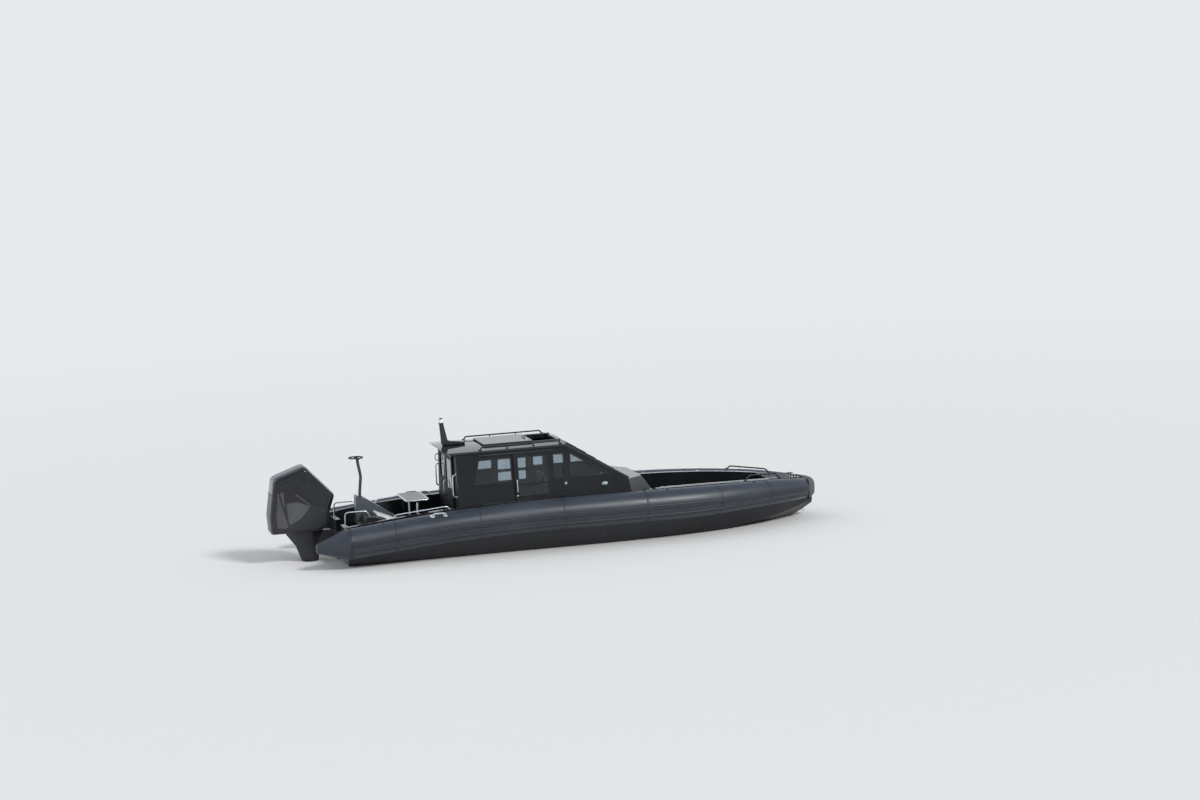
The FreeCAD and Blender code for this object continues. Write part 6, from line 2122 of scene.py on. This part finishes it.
    def leg(self) -> Surface:
        """Flange, strut, anti-cavitation plate, gearcase torpedo, skeg and the shaft's nut.

        Returns:
            The closed skin.
        """
        strut = self.block(np.array([
            (-0.625, 0.230, -0.220, 0.052), (-0.395, 0.150, -0.190, 0.060), (-0.004, 0.140, -0.150, 0.095),
        ]), self.foil())
        rim = [(-0.024, 0.135), (-0.018, 0.148), (-0.004, 0.148), (0.0, 0.14)]
        flange = spun(rim, (self.leg_x, 0, 0.02), UP, 48)
        t = np.linspace(0, 1, 40)
        nose = self.torpedo_radius * np.sqrt(np.clip(t / 0.34, 0.002, 1) * (2 - np.clip(t / 0.34, 0, 1)))
        body = nose * (1 - 0.08 * np.clip((t - 0.75) / 0.25, 0, 1) ** 2)
        line = np.stack([self.torpedo_x - self.torpedo_run * t, body], axis=1)
        torpedo = spun(line, (0, 0, self.shaft_z), AHEAD, 48)
        line = np.array([
            (0.22, 0, 0), (0.12, -0.12, 0), (-0.48, -0.15, 0), (-0.52, -0.10, 0), (-0.52, 0.10, 0),
            (-0.48, 0.15, 0), (0.12, 0.12, 0),
        ]) + self.leg_x * AHEAD
        ring = loop_line(line, 0.03, 6)
        middle = ring.mean(axis=0)
        levels = [(0.97, -0.395), (1.0, -0.392), (1.0, -0.382), (0.97, -0.379)]
        plate = np.stack([middle + (ring - middle) * scale + z * UP for scale, z in levels])
        skeg = self.block(np.array([
            (-0.915, -0.040, -0.260, 0.005), (-0.80, 0.05, -0.260, 0.009), (-0.665, 0.120, -0.260, 0.014),
        ]), self.foil(blunt=0.15))
        shaft = spun([(-0.278, 0.024), (0.0, 0.024)], (-5.30, 0, self.shaft_z), AHEAD, 32)
        end = [(-0.014, 0.016), (-0.006, 0.028), (0.0, 0.034), (0.022, 0.034)]
        nut = spun(end, (-5.578, 0, self.shaft_z), AHEAD, 8)
        return Surface.joined([strut, flange, torpedo, Surface.tube(plate), skeg, shaft, nut])

    def build(self, paint: Palette) -> None:
        """Makes the engine's pieces.

        Args:
            paint: The finishes.
        """
        lower = self.cover(self.profile(self.lower))
        upper = self.cover(self.profile(self.upper))
        piece("lower_cover", lower, paint.engine_satin, Body.OUTBOARD, ("cowl_lower",))
        piece("upper_cover", upper, paint.engine_gloss, Body.OUTBOARD, ("cowl_upper",))
        piece("cover_band", self.cap_band(), paint.engine_gloss, Body.OUTBOARD)
        piece("cover_seam", self.seam_strip(), paint.seal, Body.OUTBOARD)
        self.side_panels(paint)
        softened("engine_midsection", paint.engine_satin, 0.012, Body.OUTBOARD)
        softened("clamp_bracket", paint.engine_satin, 0.004)
        piece("lower_unit", self.leg(), paint.engine_satin, Body.GEARCASE, ("steering_leg",))
        front, rear = (self.propeller(*row) for row in self.propellers)
        piece("front_propeller", front, paint.blade, Body.FRONT_PROPELLER, ("prop_front",))
        piece("rear_propeller", rear, paint.blade, Body.REAR_PROPELLER, ("prop_rear",))


@dataclass
class Studio:
    """Floor at the waterline, soft lamps, pale surroundings and the camera."""

    azimuth: float = -13.0
    elevation: float = 10.0
    roll: float = 3.0
    distance: float = 60.0
    lens: float = 93.6
    sensor: float = 36.0
    aim: tuple[float, float] = (0.01077, 0.04375)
    pale: Colour = (0.72, 0.73, 0.74)
    horizon: Colour = (0.80, 0.82, 0.84)
    zenith: Colour = (0.46, 0.55, 0.68)
    ambient: float = 0.62
    floor_half: float = 900.0
    # Distances over which the floor fades into the surroundings
    fade: tuple[float, float] = (12.0, 44.0)
    # Name, place, spread in degrees and strength of each lamp
    suns: tuple[tuple[str, Point, float, float], ...] = (
        ("key", (8.0, -12.0, 13.0), 14.0, 1.9), ("fill", (-10.0, 9.0, 9.0), 40.0, 0.35),
    )

    def floor(self) -> None:
        """A wide pale floor in the waterline's plane, which fades far out into the surroundings."""
        mesh = bpy.data.meshes.new("floor")
        far = self.floor_half
        mesh.from_pydata([(-far, -far, 0), (far, -far, 0), (far, far, 0), (-far, far, 0)], [], [(0, 1, 2, 3)])
        floor = bpy.data.objects.new("floor", mesh)
        bpy.context.scene.collection.objects.link(floor)
        material = bpy.data.materials.new("floor")
        material.use_nodes = True
        graph = Graph(material.node_tree)
        shader = material.node_tree.nodes["Principled BSDF"]
        graph.feed(shader, {"Base Color": (*self.pale, 1), "Roughness": 0.9, "Specular IOR Level": 0.1})
        place = graph.add("ShaderNodeTexCoord").outputs["Object"]
        away = graph.add("ShaderNodeVectorMath", {0: place}, operation="LENGTH").outputs["Value"]
        joins = {0: away, 1: self.fade[0], 2: self.fade[1]}
        faded = graph.add("ShaderNodeMapRange", joins, interpolation_type="SMOOTHSTEP").outputs[0]
        mask = graph.math("MULTIPLY", faded, self.seen(graph))
        glow = graph.add("ShaderNodeEmission", {"Color": (*self.horizon, 1.0), "Strength": 1.0})
        both = graph.add("ShaderNodeMixShader", {0: mask, 1: shader.outputs[0], 2: glow.outputs[0]})
        graph.tree.links.new(both.outputs[0], material.node_tree.nodes["Material Output"].inputs[0])
        floor.data.materials.append(material)

    def seen(self, graph: Graph) -> Socket:
        """One for the camera's rays and for reflected and transmitted rays, nought for lighting rays."""
        path = graph.add("ShaderNodeLightPath")
        sight = graph.math("MAXIMUM", path.outputs["Is Camera Ray"], path.outputs["Is Glossy Ray"])
        return graph.math("MAXIMUM", sight, path.outputs["Is Transmission Ray"])

    def world(self) -> None:
        """Surroundings that light the boat evenly, and show a pale sky, cooler overhead."""
        world = bpy.data.worlds.new("studio")
        bpy.context.scene.world = world
        world.use_nodes = True
        graph = Graph(world.node_tree)
        place = graph.add("ShaderNodeNewGeometry").outputs["Position"]
        place = graph.add("ShaderNodeVectorMath", {0: place}, operation="NORMALIZE").outputs[0]
        height = graph.add("ShaderNodeSeparateXYZ", {0: place}).outputs[2]
        share = graph.between(height, 0.02, 0.75)
        sky = graph.mix(share, self.horizon, self.zenith)
        shown = graph.add("ShaderNodeBackground", {"Color": sky, "Strength": 1.0})
        light = graph.add("ShaderNodeBackground", {"Color": (0.96, 0.98, 1.0, 1.0), "Strength": self.ambient})
        both = graph.add(
            "ShaderNodeMixShader", {0: self.seen(graph), 1: light.outputs[0], 2: shown.outputs[0]},
        )
        graph.tree.links.new(both.outputs[0], world.node_tree.nodes["World Output"].inputs[0])

    def lamps(self) -> None:
        """A large soft key light high to starboard ahead, and a weak fill from the port quarter."""
        for name, place, spread, power in self.suns:
            lamp = bpy.data.lights.new(name, "SUN")
            lamp.energy, lamp.angle = power, math.radians(spread)
            lamp.color = (1.0, 0.985, 0.965)
            obj = bpy.data.objects.new(name, lamp)
            obj.location = place
            obj.rotation_euler = (-Vector(place)).to_track_quat("-Z", "Y").to_euler()
            bpy.context.scene.collection.objects.link(obj)

    def camera(self) -> None:
        """The camera at the photograph's angle, turned so that the boat lies where it does there."""
        a, e, r = (math.radians(value) for value in (self.azimuth, self.elevation, self.roll))
        back = Vector((math.sin(a) * math.cos(e), -math.cos(a) * math.cos(e), math.sin(e)))
        ahead = -back
        right = ahead.cross(Vector((0, 0, 1))).normalized()
        up = right.cross(ahead)
        level = math.cos(r) * right - math.sin(r) * up
        upright = math.sin(r) * right + math.cos(r) * up
        look = (ahead + self.aim[0] * level + self.aim[1] * upright).normalized()
        level = (level - look * level.dot(look)).normalized()
        upright = level.cross(look)
        data = bpy.data.cameras.new("camera")
        data.lens, data.sensor_width = self.lens, self.sensor
        data.clip_start, data.clip_end = 0.5, 600.0
        camera = bpy.data.objects.new("camera", data)
        turn = Matrix((level, upright, -look)).transposed().to_4x4()
        camera.matrix_world = Matrix.Translation(back * self.distance) @ turn
        bpy.context.scene.collection.objects.link(camera)
        bpy.context.scene.camera = camera

    def build(self) -> None:
        """Makes the stage, light and camera."""
        self.camera()
        self.floor()
        self.world()
        self.lamps()
        bpy.context.scene.view_settings.view_transform = "Standard"


def main() -> None:
    """Builds the boat, piece by piece, and its studio."""
    logging.basicConfig(level=logging.INFO, format="%(message)s")
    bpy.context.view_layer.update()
    Studio().build()
    paint = Palette()
    assemblies = (Hull(), Tubes(), Cabin(), Helm(), Upholstery(), DeckGear(), Outboard())
    for assembly in assemblies:
        log.info("building %s", type(assembly).__name__)
        assembly.build(paint)


if __name__ == "__main__":
    main()
